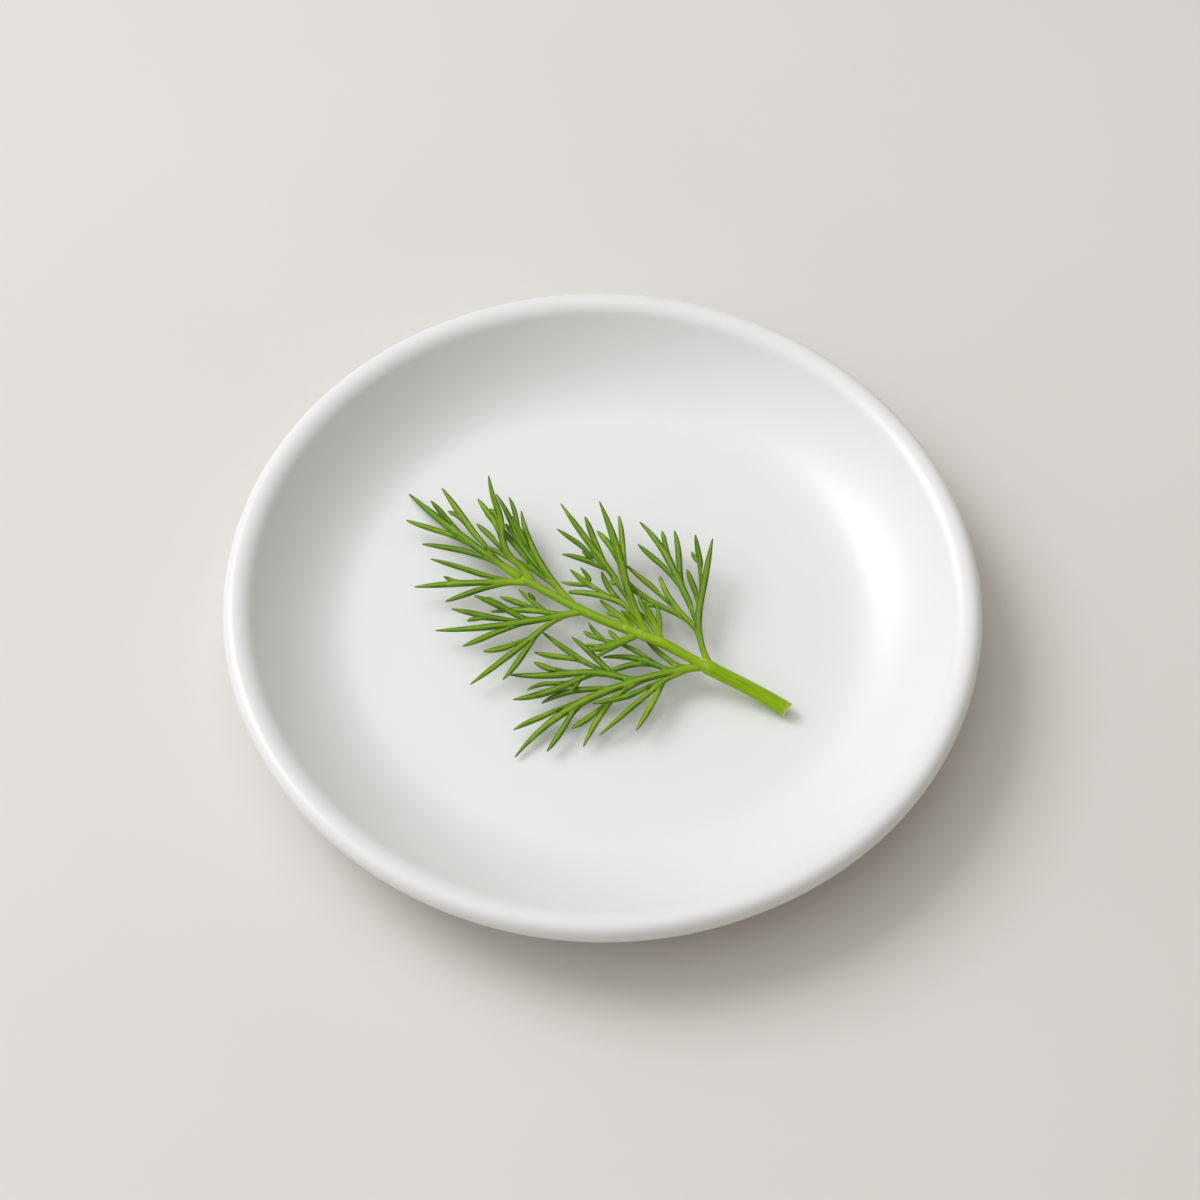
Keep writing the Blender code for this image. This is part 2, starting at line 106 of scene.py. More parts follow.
class Graph:
    """A material's node tree, with one way to add a node."""

    def __init__(self, name: str) -> None:
        """Start a material with a Principled BSDF.

        Args:
            name: the real material and how its surface was made.
        """
        self.material = bpy.data.materials.new(name)
        self.material.use_nodes = True
        self.tree = self.material.node_tree
        self.shader = self.tree.nodes["Principled BSDF"]

    def add(self, kind: str, settings: dict | None = None, **inputs: object) -> bpy.types.Node:
        """Add a node with its settings, values and links.

        Args:
            kind: the node's type without the ShaderNode prefix.
            settings: the node's own properties.
            **inputs: a value or an output socket for each input, with _ for a space in its name.

        Returns:
            The new node.
        """
        node = self.tree.nodes.new("ShaderNode" + kind)
        for key, value in (settings or {}).items():
            setattr(node, key, value)
        for key, value in inputs.items():
            self.feed(node, key, value)
        return node

    def feed(self, node: bpy.types.Node, key: str, value: object) -> None:
        """Set or link one input.

        Args:
            node: the node.
            key: the input's name with _ for a space, or its number as in i0.
            value: a value, or the output socket to link.
        """
        if key[0] == "i" and key[1:].isdigit():
            socket = node.inputs[int(key[1:])]
        else:
            socket = node.inputs[key.replace("_", " ")]
        if isinstance(value, bpy.types.NodeSocket):
            self.tree.links.new(value, socket)
        else:
            socket.default_value = value

    def finish(self, **inputs: object) -> bpy.types.Material:
        """Set the shader's inputs.

        Args:
            **inputs: a value or an output socket for each input, with _ for a space in its name.

        Returns:
            The finished material.
        """
        for key, value in inputs.items():
            self.feed(self.shader, key, value)
        return self.material

    def trace(self, which: Trace) -> bpy.types.NodeSocket:
        """A value kept at the vertices."""
        settings = {"attribute_type": "GEOMETRY", "attribute_name": which.value}
        return self.add("Attribute", settings).outputs["Fac"]

    def math(self, operation: str, a: object, b: object = 0.0) -> bpy.types.NodeSocket:
        """One arithmetic step."""
        return self.add("Math", {"operation": operation}, i0=a, i1=b).outputs[0]

    def ramp(self, value: object, span: Span, to: Span = UNIT) -> bpy.types.NodeSocket:
        """Move a value smoothly from one range to another, and hold it at the ends.

        Args:
            value: the output socket to read.
            span: the range that is read.
            to: what the span's first and last value become.

        Returns:
            The new value's output socket.
        """
        node = self.add("MapRange", {"interpolation_type": "SMOOTHSTEP"}, Value=value,
                        From_Min=span[0], From_Max=span[1], To_Min=to[0], To_Max=to[1])
        return node.outputs["Result"]

    def mix(self, share: object, a: object, b: object) -> bpy.types.NodeSocket:
        """Colour a turned into colour b by a share."""
        node = self.add("Mix", {"data_type": "RGBA", "clamp_factor": True}, i0=share, i6=a, i7=b)
        return node.outputs[2]

    def ribs(self, stretch: Span) -> bpy.types.NodeSocket:
        """Soft streaks that run along a shoot.

        Args:
            stretch: streaks across half the shoot's width, and how many follow in a millimetre
                of its length.

        Returns:
            The streaks' output socket, from 0 to 1.
        """
        place = self.add("CombineXYZ", None,
                         X=self.math("MULTIPLY", self.trace(Trace.ACROSS), stretch[0]),
                         Y=self.math("MULTIPLY", self.trace(Trace.REACH), stretch[1]),
                         Z=self.math("MULTIPLY", self.trace(Trace.RISE), stretch[0]))
        return self.noise(place.outputs[0], 1.0, 3.0)

    def object_place(self) -> bpy.types.NodeSocket:
        """The place on the object, in metres."""
        return self.add("TexCoord").outputs["Object"]

    def noise(self, vector: bpy.types.NodeSocket, scale: float, detail: float = 2.0,
              roughness: float = 0.5) -> bpy.types.NodeSocket:
        """Soft noise from 0 to 1; scale is the number of cells in a unit of the vector."""
        node = self.add("TexNoise", Vector=vector, Scale=scale, Detail=detail, Roughness=roughness)
        return node.outputs["Fac"]

    def bump(self, height: bpy.types.NodeSocket, depth_mm: float,
             strength: float = 1.0) -> bpy.types.NodeSocket:
        """A relief of that depth."""
        node = self.add("Bump", None, Height=height, Distance=depth_mm * MM, Strength=strength)
        return node.outputs["Normal"]


@dataclass(frozen=True)
class GlazedPorcelain:
    """White porcelain, dipped in a clear glaze and fired: a soft gloss over a barely uneven surface."""

    body: str = "#ECEBEA"
    pooled: str = "#E9E9E8"  # where the glaze lies thicker
    roughness: float = 0.32
    ior: float = 1.50
    pool_mm: float = 9.0  # size of the glaze's slow unevenness
    peel_mm: float = 1.4  # size of its fine unevenness
    peel_depth_mm: float = 0.0012
    peel_strength: float = 0.6
    roughness_swing: float = 0.05

    def make(self) -> bpy.types.Material:
        """Build the material."""
        graph = Graph("porcelain_dipped_in_clear_glaze")
        place = graph.object_place()
        slow = graph.noise(place, 1.0 / (self.pool_mm * MM), 2.0)
        peel = graph.noise(place, 1.0 / (self.peel_mm * MM), 1.0)
        tone = graph.mix(slow, linear(self.body), linear(self.pooled))
        rough = graph.ramp(slow, UNIT, (self.roughness - self.roughness_swing,
                                        self.roughness + self.roughness_swing))
        return graph.finish(
            Base_Color=tone,
            Roughness=rough,
            IOR=self.ior,
            Normal=graph.bump(peel, self.peel_depth_mm, self.peel_strength),
        )


@dataclass(frozen=True)
class BareFoot:
    """The foot's underside, wiped free of glaze before firing: dry, sandy biscuit."""

    body: str = "#DED8CC"
    grit: str = "#C7BFB0"
    grain_mm: float = 0.25
    grit_span: Span = (0.4, 0.75)
    roughness: float = 0.85
    depth_mm: float = 0.03

    def make(self) -> bpy.types.Material:
        """Build the material."""
        graph = Graph("porcelain_foot_wiped_bare")
        grain = graph.noise(graph.object_place(), 1.0 / (self.grain_mm * MM), 3.0)
        tone = graph.mix(graph.ramp(grain, self.grit_span), linear(self.body), linear(self.grit))
        return graph.finish(Base_Color=tone, Roughness=self.roughness,
                            Normal=graph.bump(grain, self.depth_mm))


@dataclass(frozen=True)
class DillLeaf:
    """Fresh dill leaf: fine ribs along each thread, a painted highlight along the middle of each thread's
    top side that leaves its edges darker, browned tips.
    """

    body: str = "#6A9206"
    deep: str = "#3A6204"
    # a paler green: random blotches, and the painted highlight along each thread's top
    pale_green_and_highlight: str = "#9ABA30"
    root: str = "#8CAE10"
    tip: str = "#5C5420"
    roughness: float = 0.46
    roughness_swing: Span = (-0.06, 0.08)
    rib_stretch: Span = (5.0, 0.45)  # ribs in half a width, and their breaks in a millimetre
    rib_span: Span = (0.35, 0.65)
    rib_depth_mm: float = 0.03
    rib_strength: float = 0.7
    blotch_mm: float = 2.2
    blotch_span: Span = (0.55, 0.75)
    blotch_share: float = 0.35
    highlight_fade: Span = (0.15, 0.75)  # how far from a thread's middle its painted highlight fades
    highlight_share: float = 0.45
    top_span: Span = (0.1, 0.7)
    root_mm: Span = (0.5, 7.0)  # the stem's yellow-green fades out of a leaf over this stretch
    root_share: float = 0.75
    tip_span: Span = (0.45, 1.0)
    tip_share: float = 0.75
    shade_value: Span = (0.86, 1.14)  # a thread's own brightness
    shade_hue: Span = (0.506, 0.490)  # and hue, 0.5 being unchanged
    ior: float = 1.38
    specular: float = 0.28
    depth_share: float = 0.22  # light that passes through the skin
    depth_radius: tuple[float, float, float] = (0.35, 0.8, 0.12)
    depth_mm: float = 0.7

    def make(self) -> bpy.types.Material:
        """Build the material."""
        graph = Graph("dill_leaf_fresh")
        edge = graph.math("ABSOLUTE", graph.trace(Trace.ACROSS))
        rise = graph.trace(Trace.RISE)
        reach = graph.trace(Trace.REACH)
        tip = graph.trace(Trace.TIP)
        shade = graph.trace(Trace.SHADE)
        ribs = graph.ribs(self.rib_stretch)
        blotches = graph.noise(graph.object_place(), 1.0 / (self.blotch_mm * MM), 2.0)
        tone = graph.mix(graph.ramp(ribs, self.rib_span), linear(self.deep), linear(self.body))
        blotched = graph.ramp(blotches, self.blotch_span, (0.0, self.blotch_share))
        tone = graph.mix(blotched, tone, linear(self.pale_green_and_highlight))
        # painted highlight: the top side of each thread is paler along its middle and darker towards its
        # edges
        pale_green_and_highlight = graph.math("MULTIPLY", graph.ramp(edge, self.highlight_fade, (self.highlight_share, 0.0)),
                           graph.ramp(rise, self.top_span))
        tone = graph.mix(pale_green_and_highlight, tone, linear(self.pale_green_and_highlight))
        tone = graph.mix(graph.ramp(reach, self.root_mm, (self.root_share, 0.0)), tone, linear(self.root))
        tone = graph.mix(graph.ramp(tip, self.tip_span, (0.0, self.tip_share)), tone, linear(self.tip))
        hue = graph.ramp(shade, (-1.0, 1.0), self.shade_hue)
        bright = graph.ramp(shade, (-1.0, 1.0), self.shade_value)
        tone = graph.add("HueSaturation", None, Hue=hue, Value=bright, Color=tone).outputs["Color"]
        low, high = (self.roughness + swing for swing in self.roughness_swing)
        return graph.finish(
            Base_Color=tone,
            Roughness=graph.ramp(blotches, (0.3, 0.7), (low, high)),
            IOR=self.ior,
            Specular_IOR_Level=self.specular,
            Subsurface_Weight=self.depth_share,
            Subsurface_Radius=self.depth_radius,
            Subsurface_Scale=self.depth_mm * MM,
            Normal=graph.bump(ribs, self.rib_depth_mm, self.rib_strength),
        )


@dataclass(frozen=True)
class DillStem:
    """Fresh dill stem: juicy yellow-green skin with fine darker lines along its ribs."""

    body: str = "#9ABE08"
    line: str = "#80A804"
    upper: str = "#6C9414"  # towards the leaf tips it takes on the leaf's green
    pale: str = "#CCD674"
    roughness: float = 0.38
    roughness_swing: Span = (-0.04, 0.1)
    line_stretch: Span = (7.0, 0.22)  # lines in half a width, and their breaks in a millimetre
    line_span: Span = (0.4, 0.65)
    line_depth_mm: float = 0.04
    line_strength: float = 0.7
    upper_mm: Span = (12.0, 34.0)
    upper_share: float = 0.6
    fleck_mm: float = 1.1
    fleck_span: Span = (0.56, 0.72)
    fleck_share: float = 0.3
    pale_span: Span = (0.2, 0.9)
    pale_share: float = 0.9
    ior: float = 1.38
    specular: float = 0.35
    depth_share: float = 0.25  # light that passes through the skin
    depth_radius: tuple[float, float, float] = (0.6, 1.0, 0.15)
    depth_mm: float = 0.9

    def make(self) -> bpy.types.Material:
        """Build the material."""
        graph = Graph("dill_stem_skin_fresh")
        reach = graph.trace(Trace.REACH)
        paleness = graph.trace(Trace.TIP)
        lines = graph.ribs(self.line_stretch)
        flecks = graph.noise(graph.object_place(), 1.0 / (self.fleck_mm * MM), 3.0, 0.6)
        upper = graph.ramp(reach, self.upper_mm, (0.0, self.upper_share))
        tone = graph.mix(upper, linear(self.body), linear(self.upper))
        tone = graph.mix(graph.ramp(lines, self.line_span), tone, linear(self.line))
        flecked = graph.ramp(flecks, self.fleck_span, (0.0, self.fleck_share))
        tone = graph.mix(flecked, tone, linear(self.pale))
        paled = graph.ramp(paleness, self.pale_span, (0.0, self.pale_share))
        tone = graph.mix(paled, tone, linear(self.pale))
        low, high = (self.roughness + swing for swing in self.roughness_swing)
        return graph.finish(
            Base_Color=tone,
            Roughness=graph.ramp(flecks, (0.3, 0.7), (low, high)),
            IOR=self.ior,
            Specular_IOR_Level=self.specular,
            Subsurface_Weight=self.depth_share,
            Subsurface_Radius=self.depth_radius,
            Subsurface_Scale=self.depth_mm * MM,
            Normal=graph.bump(lines, self.line_depth_mm, self.line_strength),
        )


@dataclass(frozen=True)
class CutFace:
    """The stem's cut: a wet pale core with darker strands round it."""

    core: str = "#DCE3B4"
    strand: str = "#B4C66C"
    grain_mm: float = 0.3
    strand_span: Span = (0.4, 0.65)
    relief_mm: float = 0.03
    roughness: float = 0.3
    ior: float = 1.38
    depth_share: float = 0.4  # light that passes into the flesh
    depth_radius: tuple[float, float, float] = (0.8, 1.0, 0.4)
    depth_mm: float = 1.0

    def make(self) -> bpy.types.Material:
        """Build the material."""
        graph = Graph("dill_stem_cut_wet")
        grain = graph.noise(graph.object_place(), 1.0 / (self.grain_mm * MM), 3.0)
        tone = graph.mix(graph.ramp(grain, self.strand_span), linear(self.core), linear(self.strand))
        return graph.finish(
            Base_Color=tone,
            Roughness=self.roughness,
            IOR=self.ior,
            Subsurface_Weight=self.depth_share,
            Subsurface_Radius=self.depth_radius,
            Subsurface_Scale=self.depth_mm * MM,
            Normal=graph.bump(grain, self.relief_mm),
        )


@dataclass(frozen=True)
class TableTop:
    """A smooth pale painted surface."""

    body: str = "#E3DFDB"
    shade: str = "#DCD8D3"
    patch_mm: float = 60.0
    roughness: float = 0.7

    def make(self) -> bpy.types.Material:
        """Build the material."""
        graph = Graph("table_top_painted_matt")
        slow = graph.noise(graph.object_place(), 1.0 / (self.patch_mm * MM), 2.0)
        tone = graph.mix(slow, linear(self.body), linear(self.shade))
        return graph.finish(Base_Color=tone, Roughness=self.roughness)


# ---------------------------------------------------------------------------------------------
# Working in edit mode
# ---------------------------------------------------------------------------------------------


def deselect() -> None:
    """Leave nothing selected."""
    if bpy.context.object and bpy.context.object.mode != "OBJECT":
        bpy.ops.object.mode_set(mode="OBJECT")
    bpy.ops.object.select_all(action="DESELECT")


def edit(obj: bpy.types.Object) -> None:
    """Open one object in edit mode with nothing selected in it.

    Args:
        obj: the object.
    """
    deselect()
    obj.select_set(True)
    bpy.context.view_layer.objects.active = obj
    bpy.ops.object.mode_set(mode="EDIT")
    bpy.ops.mesh.select_all(action="DESELECT")


def applied(obj: bpy.types.Object, kind: str, **settings: object) -> None:
    """Add a modifier to an object and apply it.

    Args:
        obj: the object.
        kind: the modifier's type.
        **settings: the modifier's own properties.
    """
    deselect()
    obj.select_set(True)
    bpy.context.view_layer.objects.active = obj
    modifier = obj.modifiers.new(kind.lower(), kind)
    for key, value in settings.items():
        setattr(modifier, key, value)
    bpy.ops.object.modifier_apply(modifier=modifier.name)


def bezier(start: Point, pull_a: Point, pull_b: Point, end: Point, count: int) -> list[Point]:
    """Points of a cubic curve.

    Args:
        start: where it begins.
        pull_a: what it heads for as it begins.
        pull_b: what it comes from as it ends.
        end: where it ends.
        count: how many points.

    Returns:
        The points after the start, with the end.
    """
    points = []
    for k in range(1, count + 1):
        t = k / count
        weights = ((1 - t) ** 3, 3 * t * (1 - t) ** 2, 3 * t * t * (1 - t), t ** 3)
        corners = (start, pull_a, pull_b, end)
        r, z = (sum(w * c[i] for w, c in zip(weights, corners)) for i in (0, 1))
        points.append((r, z))
    return points


def arc(middle: Point, radius: float, start: float, end: float, count: int) -> list[Point]:
    """Points of an arc.

    Args:
        middle: its centre.
        radius: its radius.
        start: the angle it begins at, in degrees.
        end: the angle it ends at, in degrees.
        count: how many points.

    Returns:
        The points after the start, with the end.
    """
    points = []
    for k in range(1, count + 1):
        angle = math.radians(start + (end - start) * k / count)
        points.append((middle[0] + radius * math.cos(angle), middle[1] + radius * math.sin(angle)))
    return points


def waves(parts: Iterable[Wave], angle: float) -> float:
    """The sum of some waves round a ring at an angle."""
    return sum(height * math.sin(rounds * angle + phase) for height, rounds, phase in parts)


def keep_traces(obj: bpy.types.Object) -> None:
    """Give a mesh the values that its finish reads."""
    for trace in Trace:
        obj.data.attributes.new(trace.value, "FLOAT", "POINT")


def declare(piece: bpy.types.Object, node: str, slot: Slot) -> None:
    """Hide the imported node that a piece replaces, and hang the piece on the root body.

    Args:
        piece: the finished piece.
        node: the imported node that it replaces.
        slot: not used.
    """
    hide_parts(node)
    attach(piece, "root")


# ---------------------------------------------------------------------------------------------
# The dish
# ---------------------------------------------------------------------------------------------


@dataclass
class Dish:
    """A small round porcelain dish with a rolled lip and a foot ring."""

    rim_radius: float = 50.0
    lip_thickness: float = 3.1
    lip_height: float = 11.4
    lip_inner_round: float = 3.0
    lip_inner_end: float = 140.0
    lip_outer_end: float = -40.0
    wall_pull: float = 4.5
    well_pull: float = 5.5
    well_height: float = 4.0
    well_radius: float = 33.0
    foot_radius: float = 29.4
    foot_width: float = 2.8
    foot_height: float = 1.5
    foot_round: float = 0.5
    foot_recess: float = 0.2
    foot_fillet: float = 1.2
    underside_drop: Point = (1.1, 5.0)  # from the rim to where the outside still falls steeply
    underside_sweep: Point = (6.5, 0.4)  # from the rim and the foot to where it runs nearly level
    underside_end: float = 1.6  # from the foot ring to where the outside ends
    foot_pull: Point = (0.3, 1.5)
    foot_drop: Point = (0.1, 1.1)
    steps: int = 192
    spread_waves: tuple[Wave, ...] = ((0.10, 2, 0.7), (0.05, 3, 2.0))
    drop_waves: tuple[Wave, ...] = ((0.07, 2, -0.4), (0.04, 5, 1.0))
    bare_height: float = 0.12  # faces below this that look down are wiped bare
    glaze: GlazedPorcelain = field(default_factory=GlazedPorcelain)
    bare: BareFoot = field(default_factory=BareFoot)

    def profile(self) -> list[Point]:
        """Draw the half section.

        Returns:
            Points (radius, height), from the middle of the well round to the underside.
        """
        lip_round = self.lip_thickness / 2
        lip = (self.rim_radius - lip_round, self.lip_height)
        roll_middle = (lip[0], self.lip_height + lip_round - self.lip_inner_round)
        end = math.radians(self.lip_inner_end)
        inner = (roll_middle[0] + self.lip_inner_round * math.cos(end),
                 roll_middle[1] + self.lip_inner_round * math.sin(end))
        pull = (inner[0] - self.wall_pull * math.sin(end), inner[1] + self.wall_pull * math.cos(end))
        well = [(0.0, self.well_height)]
        well += [(self.well_radius * k / 6, self.well_height) for k in range(1, 7)]
        wall = bezier(well[-1], (self.well_radius + self.well_pull, self.well_height), pull, inner, 18)
        roll = arc(roll_middle, self.lip_inner_round, self.lip_inner_end, 90.0, 10)
        roll += arc(lip, lip_round, 90.0, self.lip_outer_end, 16)
        drop, sweep = self.underside_drop, self.underside_sweep
        outside = bezier(roll[-1], (self.rim_radius - drop[0], self.lip_height - drop[1]),
                         (self.rim_radius - sweep[0], self.foot_height + sweep[1]),
                         (self.foot_radius + self.underside_end, self.foot_height), 18)
        joint = bezier(outside[-1], (self.foot_radius + self.foot_pull[0], self.foot_pull[1]),
                       (self.foot_radius + self.foot_drop[0], self.foot_drop[1]),
                       (self.foot_radius, self.foot_round + 0.1), 5)
        return well + wall + roll + outside + joint + self.foot_profile()

    def foot_profile(self) -> list[Point]:
        """Draw the foot ring's section and the underside within it.

        Returns:
            Points (radius, height), from the ring's outer side to the middle.
        """
        outer = arc((self.foot_radius - self.foot_round, self.foot_round), self.foot_round,
                    10.0, -90.0, 5)
        root = self.foot_radius - self.foot_width
        inner = arc((root + self.foot_round, self.foot_round), self.foot_round, -90.0, -190.0, 5)
        under = self.foot_height - self.foot_recess
        fillet = bezier(inner[-1], (root, under), (root - self.foot_recess, under),
                        (root - self.foot_fillet, under), 4)
        middle = [((root - self.foot_fillet) * k / 4, under) for k in (3, 2, 1, 0)]
        return outer + inner + fillet + middle

    def model(self) -> bpy.types.Object:
        """Draw the profile point by point, then spin it round.

        Returns:
            The dish.
        """
        deselect()
        bpy.ops.mesh.primitive_plane_add(size=MM)
        dish = bpy.context.object
        dish.name = "dish_porcelain"
        points = self.profile()
        edit(dish)
        bpy.ops.mesh.select_all(action="SELECT")
        bpy.ops.mesh.merge(type="CENTER")
        bpy.ops.transform.translate(value=(points[0][0] * MM, 0.0, points[0][1] * MM))
        for before, after in zip(points, points[1:]):
            step = ((after[0] - before[0]) * MM, 0.0, (after[1] - before[1]) * MM)
            bpy.ops.mesh.extrude_region_move(TRANSFORM_OT_translate={"value": step})
        bpy.ops.mesh.select_all(action="SELECT")
        bpy.ops.mesh.spin(steps=self.steps, angle=math.tau, center=(0, 0, 0), axis=(0, 0, 1))
        bpy.ops.mesh.select_all(action="SELECT")
        bpy.ops.mesh.remove_doubles(threshold=0.002 * MM)
        bpy.ops.mesh.normals_make_consistent(inside=False)
        bpy.ops.object.mode_set(mode="OBJECT")
        self.settle(dish)
        bpy.ops.object.shade_smooth()
        return dish

    def settle(self, dish: bpy.types.Object) -> None:
        """Give the wall and the lip the slight sag and waver that firing leaves.

        Args:
            dish: the dish.
        """
        for vertex in dish.data.vertices:
            x, y, z = vertex.co / MM
            radius = math.hypot(x, y)
            share = min(max((radius - self.well_radius) / (self.rim_radius - self.well_radius), 0), 1)
            angle = math.atan2(y, x)
            grow = 1 + share * waves(self.spread_waves, angle) / max(radius, 1.0)
            drop = share * waves(self.drop_waves, angle)
            vertex.co = Vector((x * grow, y * grow, z + drop)) * MM

    def dress(self, dish: bpy.types.Object) -> None:
        """Glaze it everywhere but under the foot.

        Args:
            dish: the dish.
        """
        dish.data.materials.append(self.glaze.make())
        dish.data.materials.append(self.bare.make())
        for face in dish.data.polygons:
            if face.center.z < self.bare_height * MM and face.normal.z < -0.8:
                face.material_index = 1

    def build(self) -> list[bpy.types.Object]:
        """Returns:
            The dish, in a list.
        """
        dish = self.model()
        self.dress(dish)
        declare(dish, "plate", Slot.PORCELAIN)
        return [dish]


# ---------------------------------------------------------------------------------------------
# How the sprig grows
# ---------------------------------------------------------------------------------------------


class Girth(Enum):
    """Widths of the shoots across their flat side, in millimetres."""

    BROAD = 1.14
    BOLD = 1.00
    PLAIN = 0.88
    FINE = 0.70


class Course:
    """The middle line that a shoot or the stem follows through space."""

    SAMPLES = 48

    def __init__(self, start: Point, heading: float, length: float, bends: Sequence[float],
                 heights: Callable[[float], float]) -> None:
        """Walk the line.

        Args:
            start: where it begins, seen from above.
            heading: its first direction, in degrees anticlockwise from +X.
            length: its length seen from above.
            bends: degrees it turns to the left in each equal part of its way.
            heights: its height at a share of the way.
        """
        self.length = length
        self.points: list[Vector] = []
        self.headings: list[float] = []
        x, y = start
        step = length / self.SAMPLES
        for k in range(self.SAMPLES + 1):
            t = k / self.SAMPLES
            self.points.append(Vector((x, y, heights(t))))
            self.headings.append(heading + self.turned(bends, t))
            middle = math.radians(heading + self.turned(bends, t + 0.5 / self.SAMPLES))
            x += step * math.cos(middle)
            y += step * math.sin(middle)

    @staticmethod
    def turned(bends: Sequence[float], t: float) -> float:
        """Degrees turned by t."""
        return sum(bend * min(max(t * len(bends) - k, 0.0), 1.0) for k, bend in enumerate(bends))

    def place(self, distance: float) -> tuple[Vector, Vector, Vector]:
        """Find a place on the line, which runs straight before its start.

        Args:
            distance: millimetres from its start, seen from above.

        Returns:
            The point, the direction there and its left-hand side.
        """
        t = min(max(distance / self.length, 0.0), 1.0) * self.SAMPLES
        k = min(int(t), self.SAMPLES - 1)
        ahead = (self.points[k + 1] - self.points[k]).normalized()
        point = self.points[k].lerp(self.points[k + 1], t - k) + ahead * min(distance, 0.0)
        angle = math.radians(self.heading(max(distance, 0.0)))
        return point, ahead, Vector((-math.sin(angle), math.cos(angle), 0.0))

    def heading(self, distance: float) -> float:
        """Find the heading.

        Args:
            distance: millimetres from its start, seen from above.

        Returns:
            Degrees anticlockwise from +X.
        """
        t = min(distance / self.length, 1.0) * self.SAMPLES
        k = min(int(t), self.SAMPLES - 1)
        return self.headings[k] + (t - k) * (self.headings[k + 1] - self.headings[k])


@dataclass(frozen=True)
class Shoot:
    """A branch or thread of a leaf, told from where it leaves its parent.

    Attributes:
        at: place on the parent, 0 at its base and 1 at its tip.
        turn: degrees it leaves to the left of the parent's direction, seen from above.
        length: millimetres, seen from above.
        bends: degrees it curves to the left in each equal part of its way.
        climb: millimetres that its tip ends above its base.
        girth: how wide it is.
        shoots: its own side shoots.
        blunt: whether its tip is snapped short.
    """

    at: float
    turn: float
    length: float
    bends: tuple[float, ...]
    climb: float
    girth: Girth = Girth.PLAIN
    shoots: tuple["Shoot", ...] = ()
    blunt: bool = False

    CLIMB_POWER = 1.5
    NECK = 0.84
    BELLY_LENGTH = 1.15
    TAPER_FROM = 0.62
    TAPER_POWER = 2.2
    TIP_SHARE = 0.2
    BLUNT_SHARE = 0.62

    def course(self, parent: Course) -> Course:
        """Lay its middle line, from the middle of its parent.

        Args:
            parent: the parent's middle line.

        Returns:
            Its own.
        """
        distance = self.at * parent.length
        start = parent.place(distance)[0]

        def heights(t: float) -> float:
            """It starts level with its parent, then rises or droops."""
            return start.z + self.climb * t ** self.CLIMB_POWER

        heading = parent.heading(distance) + self.turn
        return Course((start.x, start.y), heading, self.length, self.bends, heights)

    def half_width(self, t: float) -> float:
        """Half its width: a slender neck, a long belly, then its point.

        Args:
            t: share of the way.

        Returns:
            Millimetres.
        """
        belly = self.NECK + (1.0 - self.NECK) * math.sin(math.pi * t / self.BELLY_LENGTH)
        full = self.girth.value / 2 * belly
        if t <= self.TAPER_FROM:
            return full
        share = (t - self.TAPER_FROM) / (1.0 - self.TAPER_FROM)
        left = self.BLUNT_SHARE if self.blunt else self.TIP_SHARE
        return full * (1.0 - (1.0 - left) * share ** self.TAPER_POWER)


BROAD, BOLD, PLAIN, FINE = Girth.BROAD, Girth.BOLD, Girth.PLAIN, Girth.FINE

